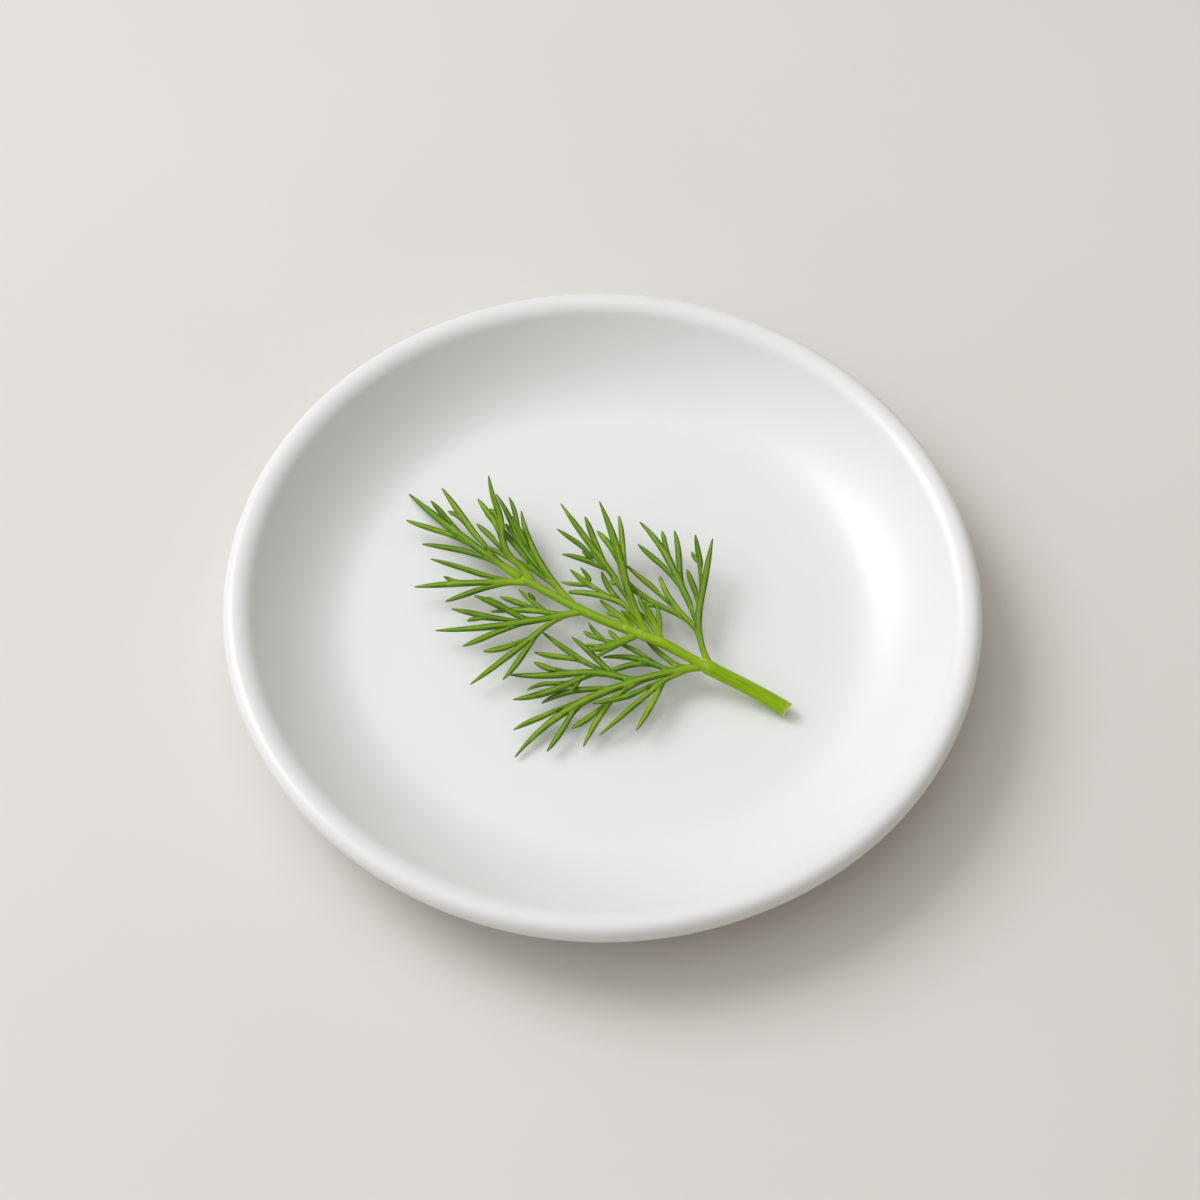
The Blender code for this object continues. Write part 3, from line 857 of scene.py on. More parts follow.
# The leaves, pair by pair from the cut end. A leaf's own place and turn are those on the stem.
LEAVES: dict[str, Shoot] = {
    "leaf_1_right": Shoot(0.277, -39, 19.9, (-38, 0), 2.0, BOLD, (
        Shoot(0.31, 46, 10.0, (-37,), -0.3, PLAIN, (
            Shoot(0.31, 31, 10.0, (-16, -28), -0.8, PLAIN, (
                Shoot(0.38, 45, 2.0, (-40,), -0.3, FINE),
                Shoot(0.72, 30, 1.6, (-40,), -0.2, FINE),
            )),
            Shoot(0.53, 18, 9.0, (-5,), -0.2, PLAIN),
        ), blunt=True),
        Shoot(0.37, 23, 18.1, (-2, 20), -0.6, BOLD, (
            Shoot(0.38, -26, 8.0, (18,), 0.3, PLAIN),
            Shoot(0.41, 26, 8.0, (-10,), -1.0, PLAIN),
            Shoot(0.64, -28, 3.5, (20,), 0.5, FINE),
        )),
        Shoot(0.53, 42, 4.5, (-14,), 1.2, PLAIN),
        Shoot(0.66, 21, 7.0, (-2,), 1.2, PLAIN, (
            Shoot(0.36, 28, 2.5, (-18,), 0.1, FINE),
        )),
    )),
    "leaf_1_left": Shoot(0.30, 33, 28.5, (13, 32), -3.3, BROAD, (
        Shoot(0.11, -49, 7.5, (-21,), -1.0, PLAIN),
        Shoot(0.14, 30, 13.5, (-1,), -1.7, PLAIN, (
            Shoot(0.16, 26, 8.0, (-10,), -0.8, PLAIN),
            Shoot(0.25, -16, 9.0, (-14,), 0.4, PLAIN),
        )),
        Shoot(0.17, -52, 9.5, (44,), -1.0, PLAIN, (
            Shoot(0.31, -26, 5.0, (38,), 0.2, FINE),
            Shoot(0.39, 38, 5.0, (1,), -0.6, PLAIN),
        )),
        Shoot(0.34, -43, 17.0, (33, -16), -0.9, BOLD, (
            Shoot(0.18, -40, 8.0, (12,), -0.2, PLAIN),
            Shoot(0.24, -23, 10.5, (-9,), 0.0, PLAIN, (
                Shoot(0.40, 38, 6.0, (-24,), -0.5, PLAIN),
            )),
            Shoot(0.35, 39, 11.0, (-31,), -0.6, BOLD, (
                Shoot(0.15, 42, 2.5, (-30,), 0.4, FINE),
                Shoot(0.34, -43, 5.5, (63,), 0.8, FINE),
            )),
            Shoot(0.56, -26, 4.2, (-2,), 0.5, PLAIN),
        )),
        Shoot(0.37, 27, 10.5, (23,), -1.6, PLAIN, (
            Shoot(0.40, -18, 5.5, (-5,), -0.6, PLAIN),
        )),
        Shoot(0.47, -35, 9.0, (47,), -1.1, PLAIN),
        Shoot(0.63, 39, 7.5, (-16,), -0.7, PLAIN),
        Shoot(0.66, -18, 8.0, (19,), -0.2, PLAIN),
    )),
    "leaf_2_right": Shoot(0.46, -48, 6.5, (12,), 0.6, PLAIN, (
        Shoot(0.12, -20, 4.9, (17,), 0.6, FINE),
        Shoot(0.37, 19, 4.5, (-8,), -1.7, FINE),
        Shoot(0.66, 28, 3.2, (-40,), 0.9, FINE),
    )),
    "leaf_3_right": Shoot(0.51, -40, 22.0, (-13, 10), 1.2, BROAD, (
        Shoot(0.10, 41, 3.0, (10,), 1.5, PLAIN),
        Shoot(0.19, 29, 10.0, (37,), -1.4, PLAIN, (
            Shoot(0.32, -31, 5.5, (-17,), -0.8, PLAIN),
            Shoot(0.50, -17, 6.5, (-9,), -0.4, PLAIN, (
                Shoot(0.22, -26, 4.5, (12,), -0.4, FINE),
                Shoot(0.40, 38, 4.0, (-20,), -0.8, FINE),
            )),
        ), blunt=True),
        Shoot(0.28, 16, 18.0, (-2,), 0.3, BOLD, (
            Shoot(0.12, 28, 2.0, (0,), 0.3, FINE),
            Shoot(0.26, 17, 7.5, (34,), 0.3, PLAIN, (
                Shoot(0.36, -32, 2.4, (45,), 1.0, FINE),
            )),
            Shoot(0.41, 17, 8.0, (0,), -0.4, PLAIN),
            Shoot(0.43, -18, 6.5, (8,), 0.8, PLAIN),
        )),
        Shoot(0.51, -17, 8.0, (16,), 0.6, PLAIN),
        Shoot(0.58, 17, 5.5, (6,), -0.5, PLAIN),
    )),
    "leaf_3_middle": Shoot(0.56, -38, 7.5, (17, -11), -1.6, PLAIN, (
        Shoot(0.50, 42, 1.6, (-30,), -0.3, FINE),
    )),
    "leaf_3_left": Shoot(0.55, 64, 7.0, (-39,), -0.6, BROAD, (
        Shoot(0.38, -75, 2.5, (0,), 0.0, FINE),
        Shoot(0.52, -46, 5.0, (-42,), -0.2, FINE, (
            Shoot(0.32, 28, 3.0, (-30,), -0.2, FINE),
        )),
        Shoot(0.57, 38, 2.5, (-36,), -0.3, FINE),
        Shoot(0.76, -37, 2.2, (20,), -0.2, FINE),
    )),
    "leaf_4_left": Shoot(0.75, 46, 20.0, (-17,), -1.8, BOLD, (
        Shoot(0.16, -33, 9.5, (24,), -1.6, PLAIN, (
            Shoot(0.20, -22, 5.0, (-6,), 0.6, FINE, (
                Shoot(0.30, -28, 2.2, (30,), 0.6, FINE),
            )),
            Shoot(0.36, -17, 5.2, (14,), 0.3, PLAIN),
        )),
        Shoot(0.17, 31, 15.0, (-7,), -2.0, PLAIN, (
            Shoot(0.29, 27, 7.5, (-20,), -0.8, PLAIN),
            Shoot(0.37, -17, 6.0, (-13,), 0.2, PLAIN),
        )),
        Shoot(0.38, -45, 8.0, (22,), 1.0, PLAIN, (
            Shoot(0.56, -28, 2.0, (34,), 0.2, FINE),
        )),
        Shoot(0.45, -22, 9.0, (4,), 0.3, PLAIN, (
            Shoot(0.48, 28, 2.5, (-5,), -0.4, FINE),
        )),
        Shoot(0.47, 24, 7.5, (-9,), -0.4, PLAIN),
    )),
    "leaf_4_right": Shoot(0.78, -16, 17.5, (-14, -20), 0.0, BOLD, (
        Shoot(0.28, 16, 8.0, (-7,), -2.6, PLAIN, (
            Shoot(0.46, -17, 12.0, (12,), -1.0, PLAIN),
        )),
        Shoot(0.37, 18, 15.5, (-31, 10), -0.8, PLAIN, (
            Shoot(0.47, 26, 3.0, (-21,), -0.3, FINE),
            Shoot(0.50, -22, 6.0, (31,), 0.6, FINE),
        )),
        Shoot(0.57, 17, 6.0, (-18,), 1.8, PLAIN),
    )),
    "leaf_5_left": Shoot(0.97, 33, 15.5, (4,), -1.0, BOLD, (
        Shoot(0.22, -22, 10.5, (7,), 0.5, PLAIN),
        Shoot(0.24, 22, 8.0, (-2,), -0.5, PLAIN),
        Shoot(0.63, -48, 2.0, (35,), 0.3, FINE),
    )),
    "leaf_5_right": Shoot(0.95, -34, 17.5, (28, -50, 22, -15), 3.0, BOLD, (
        Shoot(0.27, 17, 4.0, (8,), 0.8, FINE),
        Shoot(0.37, 17, 6.0, (-2,), -0.4, PLAIN),
        Shoot(0.53, 32, 6.0, (-1,), 0.4, PLAIN),
        Shoot(0.62, 24, 2.5, (5,), -0.2, FINE),
    )),
    "leaf_tip": Shoot(1.0, -5, 22.5, (-12,), -3.3, BROAD, (
        Shoot(0.23, 22, 10.0, (11,), -0.3, PLAIN),
        Shoot(0.25, -17, 12.5, (4,), 1.2, BOLD, (
            Shoot(0.56, 28, 2.5, (-3,), -0.2, FINE),
        )),
        Shoot(0.48, 29, 8.5, (-10,), -0.3, PLAIN),
        Shoot(0.56, -16, 5.5, (18,), 0.9, PLAIN),
    )),
}


@dataclass
class Stem:
    """The cut stem, running on as the rachis that carries the leaves."""

    start: Point = (24.8, -13.6)
    heading: float = 152.0
    length: float = 40.0
    bends: tuple[float, ...] = (8.0, -6.0, 4.0, -10.0, 0.0)
    well_height: float = 4.0
    places: tuple[float, ...] = (0.0, 0.14, 0.28, 0.45, 0.7, 1.0)
    heights: tuple[float, ...] = (1.2, 2.4, 3.8, 5.0, 4.6, 3.8)
    girth_places: tuple[float, ...] = (0.0, 0.14, 0.29, 0.33, 0.46, 0.7, 1.0)
    radii: tuple[float, ...] = (1.03, 0.98, 0.95, 0.64, 0.69, 0.64, 0.56)
    nodes: tuple[float, ...] = (0.29, 0.47, 0.535, 0.76, 0.97)
    node_spread: float = 0.022
    swelling: float = 0.07
    end_share: float = 0.6  # width left at its upper end
    rib_height: float = 0.03  # as a share of its radius
    cut_waver: float = 0.09  # how far the cut strays from a plane
    cut_steps: tuple[Point, ...] = ((0.06, 0.0), (0.10, -0.05), (0.28, -0.05))  # in, and deeper
    cut_pale: float = 0.6
    cut_fade: float = 0.7
    fork_at: float = 12.7  # the pale spot in the lowest fork: along the stem, and round it
    fork_angle: float = 2.3
    fork_fade: float = 0.5
    sides: int = 24
    ribs: int = 8
    rings: int = 90
    skin: DillStem = field(default_factory=DillStem)
    cut: CutFace = field(default_factory=CutFace)

    @staticmethod
    def between(places: Sequence[float], values: Sequence[float], t: float) -> float:
        """Read a value between places.

        Args:
            places: shares of the way, rising.
            values: the value at each place.
            t: share of the way.

        Returns:
            The value at t on straight lines through the places.
        """
        for k in range(1, len(places)):
            if t <= places[k]:
                share = (t - places[k - 1]) / (places[k] - places[k - 1])
                return values[k - 1] + share * (values[k] - values[k - 1])
        return values[-1]

    def course(self) -> Course:
        """The stem's middle line."""
        return Course(self.start, self.heading, self.length, self.bends,
                      lambda t: self.well_height + self.between(self.places, self.heights, t))

    def radius(self, t: float) -> float:
        """Its radius, a little swollen where leaves leave it."""
        bulge = sum(math.exp(-((t - node) / self.node_spread) ** 2) for node in self.nodes)
        return self.between(self.girth_places, self.radii, t) * (1.0 + self.swelling * bulge)

    def paleness(self, distance: float, angle: float) -> float:
        """How pale the skin is: most in the lowest fork, and some at the cut.

        Args:
            distance: millimetres from the cut.
            angle: radians round the stem from its left side.

        Returns:
            0 to 1.
        """
        cut = self.cut_pale * math.exp(-(distance / self.cut_fade) ** 2)
        along = (distance - self.fork_at) / self.fork_fade
        around = (angle - self.fork_angle) / self.fork_fade
        return max(cut, math.exp(-along ** 2 - around ** 2))

    def model(self, course: Course) -> bpy.types.Object:
        """Extrude a disc ring by ring along the course.

        Args:
            course: the stem's middle line.

        Returns:
            The stem.
        """
        deselect()
        bpy.ops.mesh.primitive_circle_add(vertices=self.sides, radius=MM, fill_type="NGON")
        stem = bpy.context.object
        stem.name = "stem_fresh"
        keep_traces(stem)
        edit(stem)
        bpy.ops.mesh.select_all(action="SELECT")
        work = bmesh.from_edit_mesh(stem.data)
        self.set_ring(work, course, 0.0)
        for k in range(1, self.rings + 1):
            bpy.ops.mesh.extrude_region_move()
            work = bmesh.from_edit_mesh(stem.data)
            self.set_ring(work, course, k / self.rings)
        bpy.ops.mesh.select_all(action="SELECT")
        bpy.ops.mesh.normals_make_consistent(inside=False)
        self.dish_the_cut(stem, course)
        bpy.ops.object.mode_set(mode="OBJECT")
        applied(stem, "SUBSURF", levels=1, render_levels=1)
        bpy.ops.object.shade_smooth()
        return stem

    def set_ring(self, work: bmesh.types.BMesh, course: Course, t: float) -> None:
        """Move the selected ring to its place and give it its traces.

        Args:
            work: the mesh being edited.
            course: the stem's middle line.
            t: the ring's share of the way.
        """
        point, ahead, left = course.place(t * course.length)
        over = ahead.cross(left)
        ring = [vert for vert in work.verts if vert.select]
        middle = sum((vert.co for vert in ring), Vector()) / len(ring)
        if t == 0.0:
            angles = {vert: math.atan2(vert.co.y, vert.co.x) for vert in ring}
        else:
            back = course.place((t - 1 / self.rings) * course.length)
            old_over = back[1].cross(back[2])
            angles = {vert: math.atan2((vert.co - middle).dot(old_over), (vert.co - middle).dot(back[2]))
                      for vert in ring}
        radius = self.radius(t) * (self.end_share if t == 1.0 else 1.0)
        layers = work.verts.layers.float
        for vert, angle in angles.items():
            ribbed = radius * (1.0 + self.rib_height * math.cos(self.ribs * angle))
            offset = left * math.cos(angle) + over * math.sin(angle)
            stray = waves(((self.cut_waver, 2, 0.6),), angle) if t == 0.0 else 0.0
            vert.co = (point + offset * ribbed + ahead * stray) * MM
            vert[layers[Trace.TIP.value]] = self.paleness(t * course.length, angle)
            vert[layers[Trace.ACROSS.value]] = math.cos(angle)
            vert[layers[Trace.RISE.value]] = math.sin(angle)
            vert[layers[Trace.REACH.value]] = t * course.length

    def dish_the_cut(self, stem: bpy.types.Object, course: Course) -> None:
        """Inset the cut face into a skin, a flesh ring and a slightly sunken core.

        Args:
            stem: the stem, in edit mode.
            course: its middle line.
        """
        bpy.ops.mesh.select_all(action="DESELECT")
        work = bmesh.from_edit_mesh(stem.data)
        start = course.points[0] * MM
        ends = [face for face in work.faces if len(face.verts) > 4]
        min(ends, key=lambda face: (face.calc_center_median() - start).length).select_set(True)
        work.select_flush(True)
        bmesh.update_edit_mesh(stem.data)
        for inset, depth in self.cut_steps:
            bpy.ops.mesh.inset(thickness=inset * MM, depth=depth * MM)
            work = bmesh.from_edit_mesh(stem.data)
            core = next(face for face in work.faces if face.select)
            for near in {face for edge in core.edges for face in edge.link_faces}:
                near.material_index = 1
        bmesh.update_edit_mesh(stem.data)

    def build(self) -> list[bpy.types.Object]:
        """Returns:
            The stem, in a list.
        """
        stem = self.model(self.course())
        stem.data.materials.append(self.skin.make())
        stem.data.materials.append(self.cut.make())
        declare(stem, "stem", Slot.STEM)
        return [stem]


class Cage:
    """A closed cage of square rings, grown by extruding one face at a time in edit mode."""

    def __init__(self, name: str) -> None:
        """Start with a small block, whose ends are the first two rings.

        Args:
            name: the object's name.
        """
        deselect()
        bpy.ops.mesh.primitive_cube_add(size=MM)
        self.obj = bpy.context.object
        self.obj.name = name
        keep_traces(self.obj)
        edit(self.obj)

    def work(self) -> bmesh.types.BMesh:
        """Open the mesh being edited.

        Returns:
            The mesh, ready to be asked for vertices by number.
        """
        mesh = bmesh.from_edit_mesh(self.obj.data)
        mesh.verts.ensure_lookup_table()
        return mesh

    def end_ring(self, side: int) -> dict[Corner, int]:
        """Find the block's four corners on one end.

        Args:
            side: 1 for its +X end, -1 for its -X end.

        Returns:
            Each corner's vertex number.
        """
        ring = {}
        for vert in self.work().verts:
            if vert.co.x * side > 0:
                ring[1 if vert.co.y > 0 else -1, 1 if vert.co.z > 0 else -1] = vert.index
        return ring

    def set_ring(self, ring: dict[Corner, int], places: dict[Corner, Vector],
                 traces: dict[Trace, float]) -> None:
        """Move a ring's corners to their places and give them their traces.

        Args:
            ring: each corner's vertex number.
            places: each corner's place, in millimetres.
            traces: the values that are the same at all four.
        """
        mesh = self.work()
        layers = mesh.verts.layers.float
        for key, index in ring.items():
            vert = mesh.verts[index]
            vert.co = places[key] * MM
            vert[layers[Trace.ACROSS.value]] = float(key[0])
            vert[layers[Trace.RISE.value]] = float(key[1])
            for trace, value in traces.items():
                vert[layers[trace.value]] = value

    def extrude(self, corners: dict[Corner, int]) -> dict[Corner, int]:
        """Extrude one face, in place.

        Args:
            corners: the vertex numbers of its corners.

        Returns:
            Those of the new face.
        """
        mesh = self.work()
        wanted = set(corners.values())
        first = mesh.verts[next(iter(wanted))]
        face = next(f for f in first.link_faces if {v.index for v in f.verts} == wanted)
        bpy.ops.mesh.select_all(action="DESELECT")
        face.select_set(True)
        old = {key: mesh.verts[index].co.copy() for key, index in corners.items()}
        bpy.ops.mesh.extrude_region_move()
        mesh = self.work()
        mesh.verts.index_update()
        fresh = [vert for vert in mesh.verts if vert.select]
        return {key: min(fresh, key=lambda vert: (vert.co - place).length_squared).index
                for key, place in old.items()}

    def close(self) -> bpy.types.Object:
        """Turn the faces outward and leave edit mode.

        Returns:
            The object.
        """
        bpy.ops.mesh.select_all(action="SELECT")
        bpy.ops.mesh.normals_make_consistent(inside=False)
        bpy.ops.object.mode_set(mode="OBJECT")
        return self.obj


@dataclass
class Opening:
    """The stretch of a shoot that one side shoot, or one on each side, grows from."""

    start: float
    end: float
    shoots: list[Shoot]


@dataclass
class Leaf:
    """One leaf of the sprig, with all its threads in one skin."""

    name: str
    trunk: Shoot
    flatness: float = 0.64
    swell: float = 1.08  # makes up for what smoothing takes off the cage
    longest_step: float = 1.8
    tip_rings: tuple[float, ...] = (0.8, 0.92)  # the last rings before a tip
    ring_clear: float = 0.25  # between the last window and the first of those rings
    window_gap: float = 0.12
    window_least: float = 0.3  # half the length of the window that a side shoot grows from
    window_most: float = 0.6
    pair_window: float = 1.4  # halves of a side shoot's window that it needs when it shares one
    fork_clear: float = 0.1  # from a parent's skin to its side shoot's first ring
    fork_least: float = 0.5
    fork_most_share: float = 0.42
    root_back: float = 0.3  # how far behind the stem's middle the trunk begins
    root_flare: float = 1.55
    root_clear: float = 0.8  # from the stem's middle line to its skin
    skin_flare: float = 1.2  # where it comes out of the stem
    root_least: float = 0.9
    root_most: float = 2.0
    channel: float = 0.05  # depth of the groove along each thread's top
    channel_width: float = 0.55  # as a share of the thread's width
    wobble: float = 0.06  # how unevenly wide a thread is
    twist: float = 28.0  # how far a thread may turn about itself, in degrees
    trunk_twist: float = 12.0
    trunk_shade: float = 0.4
    brown_from: float = 0.86  # where along a shoot its browned tip begins
    levels: int = 2

    def __post_init__(self) -> None:
        """Seed what differs from shoot to shoot."""
        self.dice = random.Random(self.name)
        self.cage: Cage | None = None

    def openings(self, shoot: Shoot, course: Course, first: float) -> list[Opening]:
        """Find where the side shoots leave, kept clear of each other.

        Args:
            shoot: their parent.
            course: the parent's middle line.
            first: distance of the parent's first ring.

        Returns:
            The openings in order along the parent.
        """
        found: list[Opening] = []
        for child in sorted(shoot.shoots, key=lambda each: each.at):
            half = self.window_half(child)
            start = child.at * course.length - half
            if found and start < found[-1].end + self.window_gap:
                last = found[-1]
                alone = len(last.shoots) == 1
                across = (last.shoots[0].turn > 0) != (child.turn > 0)
                if alone and across and start < last.end:
                    last.end = max(last.end, start + self.pair_window * half)
                    last.shoots.append(child)
                    continue
                start = last.end + self.window_gap
            start = max(start, first + self.window_gap)
            found.append(Opening(start, start + 2 * half, [child]))
        return found

    def window_half(self, child: Shoot) -> float:
        """Half the length of the opening that a side shoot grows from."""
        wide = child.girth.value / 2 / math.sin(math.radians(abs(child.turn)))
        return min(max(wide, self.window_least), self.window_most)

    def stations(self, shoot: Shoot, course: Course, first: float,
                 openings: Iterable[Opening]) -> list[float]:
        """Place a shoot's rings after its first.

        Args:
            shoot: the shoot.
            course: its middle line.
            first: distance of its first ring.
            openings: where its side shoots leave.

        Returns:
            The rings' distances, rising.
        """
        stops = [edge for opening in openings for edge in (opening.start, opening.end)]
        near_tip = [course.length * share for share in (shoot.TAPER_FROM, *self.tip_rings)]
        last_stop = max(stops, default=first)
        stops += [stop for stop in near_tip if stop > last_stop + self.ring_clear]
        stops = sorted(stops + [course.length])
        places: list[float] = []
        last = first
        for stop in stops:
            pieces = max(1, math.ceil((stop - last) / self.longest_step))
            places += [last + (stop - last) * k / pieces for k in range(1, pieces + 1)]
            last = stop
        return places

    def ring_places(self, course: Course, shoot: Shoot, distance: float, roll: float,
                    flare: float = 1.0) -> dict[Corner, Vector]:
        """Place the four corners of a shoot's section.

        Args:
            course: its middle line.
            shoot: the shoot.
            distance: where along the line.
            roll: degrees that it has turned about itself by its tip.
            flare: how much wider it is than the shoot's own width there.

        Returns:
            Each corner's place, in millimetres.
        """
        point, ahead, left = course.place(distance)
        t = min(max(distance / course.length, 0.0), 1.0)
        half = shoot.half_width(t) * self.swell * flare
        over = ahead.cross(left)
        turn = Matrix.Rotation(math.radians(roll) * t, 3, ahead)
        side_way = turn @ left
        over_way = turn @ over
        return {(side, rise): point + side_way * (side * half) + over_way * (rise * half * self.flatness)
                for side in (1, -1) for rise in (1, -1)}

    def grow(self, shoot: Shoot, course: Course, ring: dict[Corner, int], first: float,
             base_reach: float, roll: float, shade: float) -> None:
        """Carry a shoot on from its first ring to its tip, then grow its side shoots.

        Args:
            shoot: the shoot.
            course: its middle line.
            ring: the corners of its first ring.
            first: that ring's distance.
            base_reach: millimetres from the stem to the shoot's start.
            roll: degrees that it turns about itself.
            shade: its own tone, -1 to 1.
        """
        openings = self.openings(shoot, course, first)
        sprouts: list[tuple[Shoot, dict[Corner, int], float]] = []
        last = first
        for stop in self.stations(shoot, course, first, openings):
            fresh = self.cage.extrude(ring)
            uneven = 1.0 + self.dice.uniform(-self.wobble, self.wobble)
            places = self.ring_places(course, shoot, stop, roll, uneven)
            t = stop / course.length
            traces = {Trace.REACH: base_reach + stop, Trace.SHADE: shade,
                      Trace.TIP: max(0.0, (t - self.brown_from) / (1.0 - self.brown_from))}
            self.cage.set_ring(fresh, places, traces)
            for opening in openings:
                if abs(opening.start - last) < 1e-6:
                    for child in opening.shoots:
                        side = 1 if child.turn > 0 else -1
                        corners = {(-side, 1): fresh[side, 1], (-side, -1): fresh[side, -1],
                                   (side, 1): ring[side, 1], (side, -1): ring[side, -1]}
                        sprouts.append((child, corners, base_reach + stop))
            ring = fresh
            last = stop
        for child, corners, reach in sprouts:
            self.sprout(shoot, course, child, corners, reach)

    def sprout(self, parent: Shoot, parent_course: Course, child: Shoot, corners: dict[Corner, int],
               reach: float) -> None:
        """Grow a side shoot out of a side face of its parent.

        Args:
            parent: the parent.
            parent_course: its middle line.
            child: the side shoot.
            corners: the corners of the parent's face that it grows from.
            reach: millimetres from the stem to that face.
        """
        course = child.course(parent_course)
        angle = math.radians(abs(child.turn))
        clear = (parent.half_width(child.at) + self.fork_clear) / math.sin(angle)
        clear += child.girth.value / 2 / math.tan(angle)
        first = min(max(clear, self.fork_least), self.fork_most_share * course.length)
        shade = self.dice.uniform(-1.0, 1.0)
        roll = self.dice.uniform(-self.twist, self.twist)
        fresh = self.cage.extrude(corners)
        places = self.ring_places(course, child, first, roll)
        traces = {Trace.REACH: reach + first, Trace.SHADE: shade, Trace.TIP: 0.0}
        self.cage.set_ring(fresh, places, traces)
        self.grow(child, course, fresh, first, reach, roll, shade)

    def model(self, stem: Course) -> bpy.types.Object:
        """Grow the cage, smooth it, then press the groove into each thread.

        Args:
            stem: the stem's middle line.

        Returns:
            The leaf.
        """
        course = self.trunk.course(stem)
        self.cage = Cage(self.name + "_fresh")
        shade = self.dice.uniform(-self.trunk_shade, self.trunk_shade)
        roll = self.dice.uniform(-self.trunk_twist, self.trunk_twist)
        out_of_stem = self.root_clear / math.sin(math.radians(max(abs(self.trunk.turn), 1)))
        first = min(max(out_of_stem, self.root_least), self.root_most)
        back = {Trace.REACH: 0.0, Trace.SHADE: shade, Trace.TIP: 0.0}
        head = self.cage.end_ring(1)
        ends = ((self.cage.end_ring(-1), -self.root_back, self.root_flare), (head, first, self.skin_flare))
        for ring, distance, flare in ends:
            self.cage.set_ring(ring, self.ring_places(course, self.trunk, distance, roll, flare), back)
        self.grow(self.trunk, course, head, first, 0.0, roll, shade)
        leaf = self.cage.close()
        applied(leaf, "SUBSURF", levels=self.levels, render_levels=self.levels)
        self.press_channels(leaf)
        bpy.ops.object.shade_smooth()
        return leaf

    def press_channels(self, leaf: bpy.types.Object) -> None:
        """Push the middle of each thread's top side in a little.

        Args:
            leaf: the leaf.
        """
        mesh = leaf.data
        traces = {trace: [item.value for item in mesh.attributes[trace.value].data]
                  for trace in (Trace.ACROSS, Trace.RISE, Trace.TIP)}
        normals = [vertex.normal.copy() for vertex in mesh.vertices]
        for index, vertex in enumerate(mesh.vertices):
            top = max(traces[Trace.RISE][index], 0.0)
            middle = max(1.0 - abs(traces[Trace.ACROSS][index]) / self.channel_width, 0.0)
            share = top * middle * (1.0 - min(traces[Trace.TIP][index], 1.0))
            vertex.co -= normals[index] * (share * self.channel * MM)

    def build(self, stem: Course, look: bpy.types.Material) -> list[bpy.types.Object]:
        """Args:
            stem: the stem's middle line.
            look: the leaves' finish.

        Returns:
            The leaf, in a list.
        """
        leaf = self.model(stem)
        leaf.data.materials.append(look)
        declare(leaf, self.name, Slot.LEAF)
        return [leaf]


@dataclass
class Sprig:
    """The whole sprig: its stem and its leaves."""

    stem: Stem = field(default_factory=Stem)
    leaves: dict[str, Shoot] = field(default_factory=lambda: dict(LEAVES))
    finish: DillLeaf = field(default_factory=DillLeaf)

    def build(self) -> list[bpy.types.Object]:
        """Build the stem and every leaf on it.

        Returns:
            The stem and the leaves.
        """
        pieces = self.stem.build()
        course = self.stem.course()
        look = self.finish.make()
        for name, trunk in self.leaves.items():
            pieces += Leaf(name, trunk).build(course, look)
        return pieces


# ---------------------------------------------------------------------------------------------
# The studio
# ---------------------------------------------------------------------------------------------


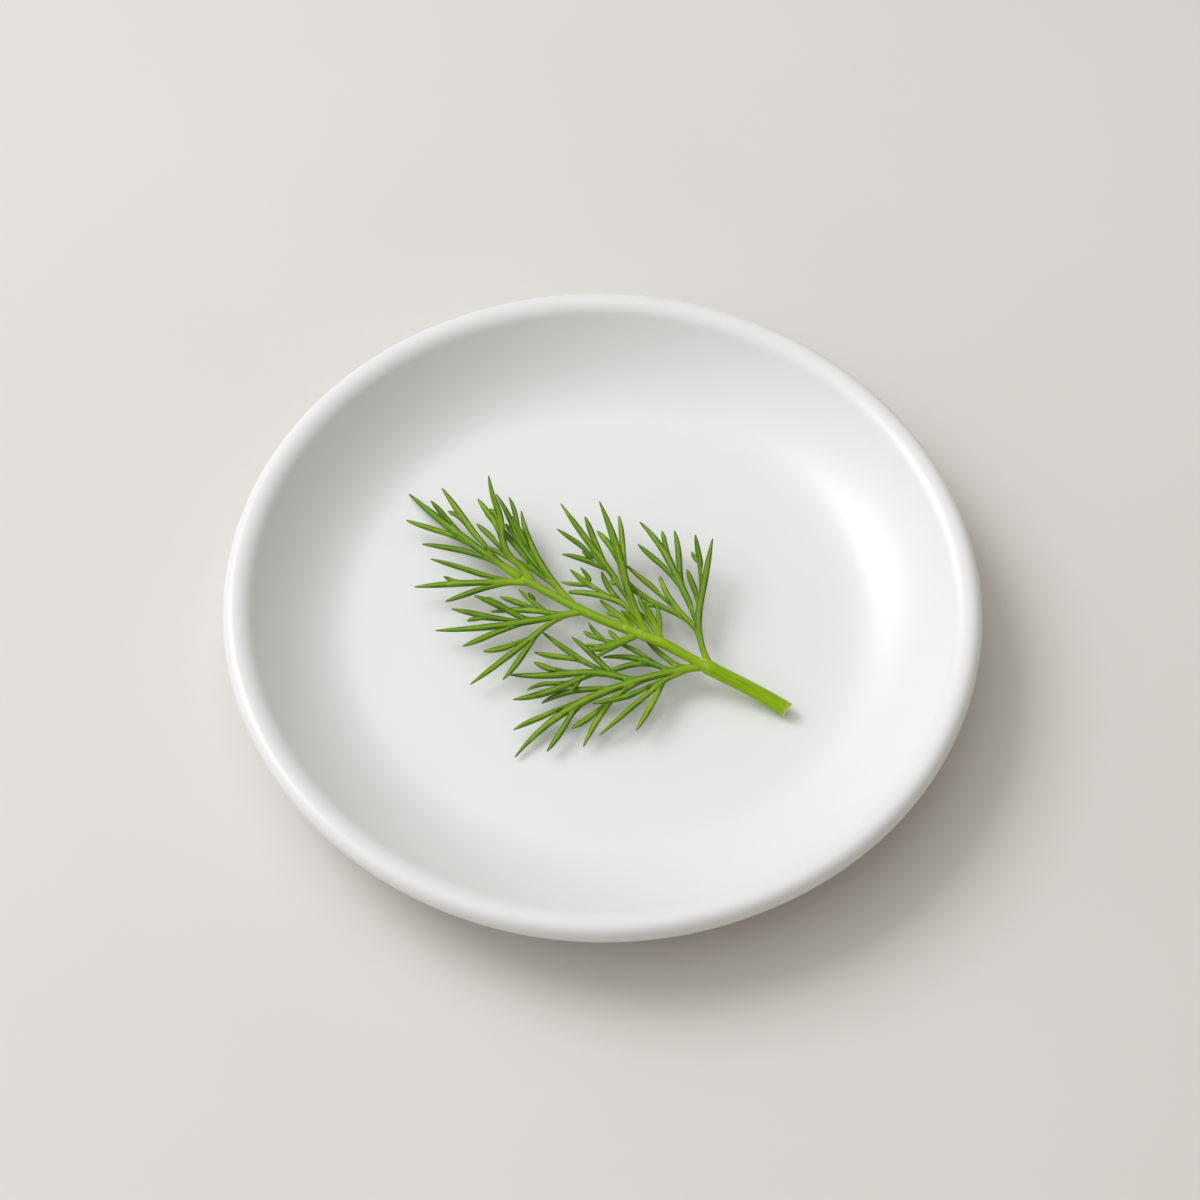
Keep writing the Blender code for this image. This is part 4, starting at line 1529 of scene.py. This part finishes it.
@dataclass
class Studio:
    """A pale table, one soft light from the back left, and the camera."""

    target: tuple[float, float, float] = (-0.37, -1.15, 11.0)
    distance: float = 308.4
    elevation: float = 58.2
    roll: float = 1.95
    lens: float = 70.0
    sensor: float = 36.0
    key_way: tuple[float, float, float] = (-0.82, 0.38, 1.0)
    key_distance: float = 1200.0
    key_size: float = 680.0
    key_power: float = 6.8
    panel_way: tuple[float, float, float] = (-0.55, 0.10, 1.0)
    panel_distance: float = 1000.0
    panel_size: float = 2000.0
    panel_power: float = 8.2
    lamp_tint: tuple[float, float, float] = (0.935, 0.965, 1.0)
    ambient: float = 0.30
    ambient_tint: tuple[float, float, float] = (1.0, 0.935, 0.83)
    table_size: float = 3000.0
    table: TableTop = field(default_factory=TableTop)

    def lay_table(self) -> None:
        """The table top under the dish."""
        deselect()
        bpy.ops.mesh.primitive_plane_add(size=self.table_size * MM)
        top = bpy.context.object
        top.name = "table_top"
        top.data.materials.append(self.table.make())

    def hang_disk(self, name: str, way: Sequence[float], distance: float, size: float,
                  power: float) -> None:
        """A round soft light that shines on the origin.

        Args:
            name: the light's name.
            way: where it hangs, as seen from the origin.
            distance: millimetres from the origin.
            size: its diameter in millimetres.
            power: watts.
        """
        towards = Vector(way).normalized()
        lamp = bpy.data.lights.new(name, "AREA")
        lamp.shape = "DISK"
        lamp.size = size * MM
        lamp.energy = power
        lamp.color = self.lamp_tint
        holder = bpy.data.objects.new(name, lamp)
        holder.location = towards * distance * MM
        holder.rotation_euler = towards.to_track_quat("Z", "Y").to_euler()
        bpy.context.scene.collection.objects.link(holder)

    def hang_lights(self) -> None:
        """The window, the wide panel above it and the room's own light."""
        self.hang_disk("window", self.key_way, self.key_distance, self.key_size, self.key_power)
        self.hang_disk("panel", self.panel_way, self.panel_distance, self.panel_size, self.panel_power)
        world = bpy.data.worlds.new("room")
        world.use_nodes = True
        back = world.node_tree.nodes["Background"]
        back.inputs["Color"].default_value = (*self.ambient_tint, 1.0)
        back.inputs["Strength"].default_value = self.ambient
        bpy.context.scene.world = world

    def set_camera(self) -> None:
        """The camera, looking down along +Y with a slight roll."""
        lift = math.radians(self.elevation)
        away = Vector((0.0, -math.cos(lift), math.sin(lift)))
        level = Vector((1.0, 0.0, 0.0))
        above = away.cross(level)
        tilt = math.radians(self.roll)
        right = level * math.cos(tilt) + above * math.sin(tilt)
        up = above * math.cos(tilt) - level * math.sin(tilt)
        camera = bpy.data.cameras.new("camera")
        camera.lens = self.lens
        camera.sensor_width = self.sensor
        camera.clip_start = 0.01
        holder = bpy.data.objects.new("camera", camera)
        turn = Matrix((right, up, away)).transposed().to_4x4()
        spot = (Vector(self.target) + away * self.distance) * MM
        holder.matrix_world = Matrix.Translation(spot) @ turn
        bpy.context.scene.collection.objects.link(holder)
        bpy.context.scene.camera = holder

    def build(self) -> None:
        """Set everything that isn't part of the object."""
        self.lay_table()
        self.hang_lights()
        self.set_camera()
        bpy.context.scene.view_settings.view_transform = "Standard"


def main() -> None:
    """Build the object and its setting, and log how many nodes the frame has and how many faces each piece
    has.
    """
    logging.basicConfig(level=logging.INFO, format="%(name)s: %(message)s")
    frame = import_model()
    LOG.info("frame: %d nodes", len(frame["nodes"]))
    for part in (Dish(), Sprig()):
        for piece in part.build():
            LOG.info("%s: %d faces", piece.name, len(piece.data.polygons))
    Studio().build()


if __name__ == "__main__":
    main()
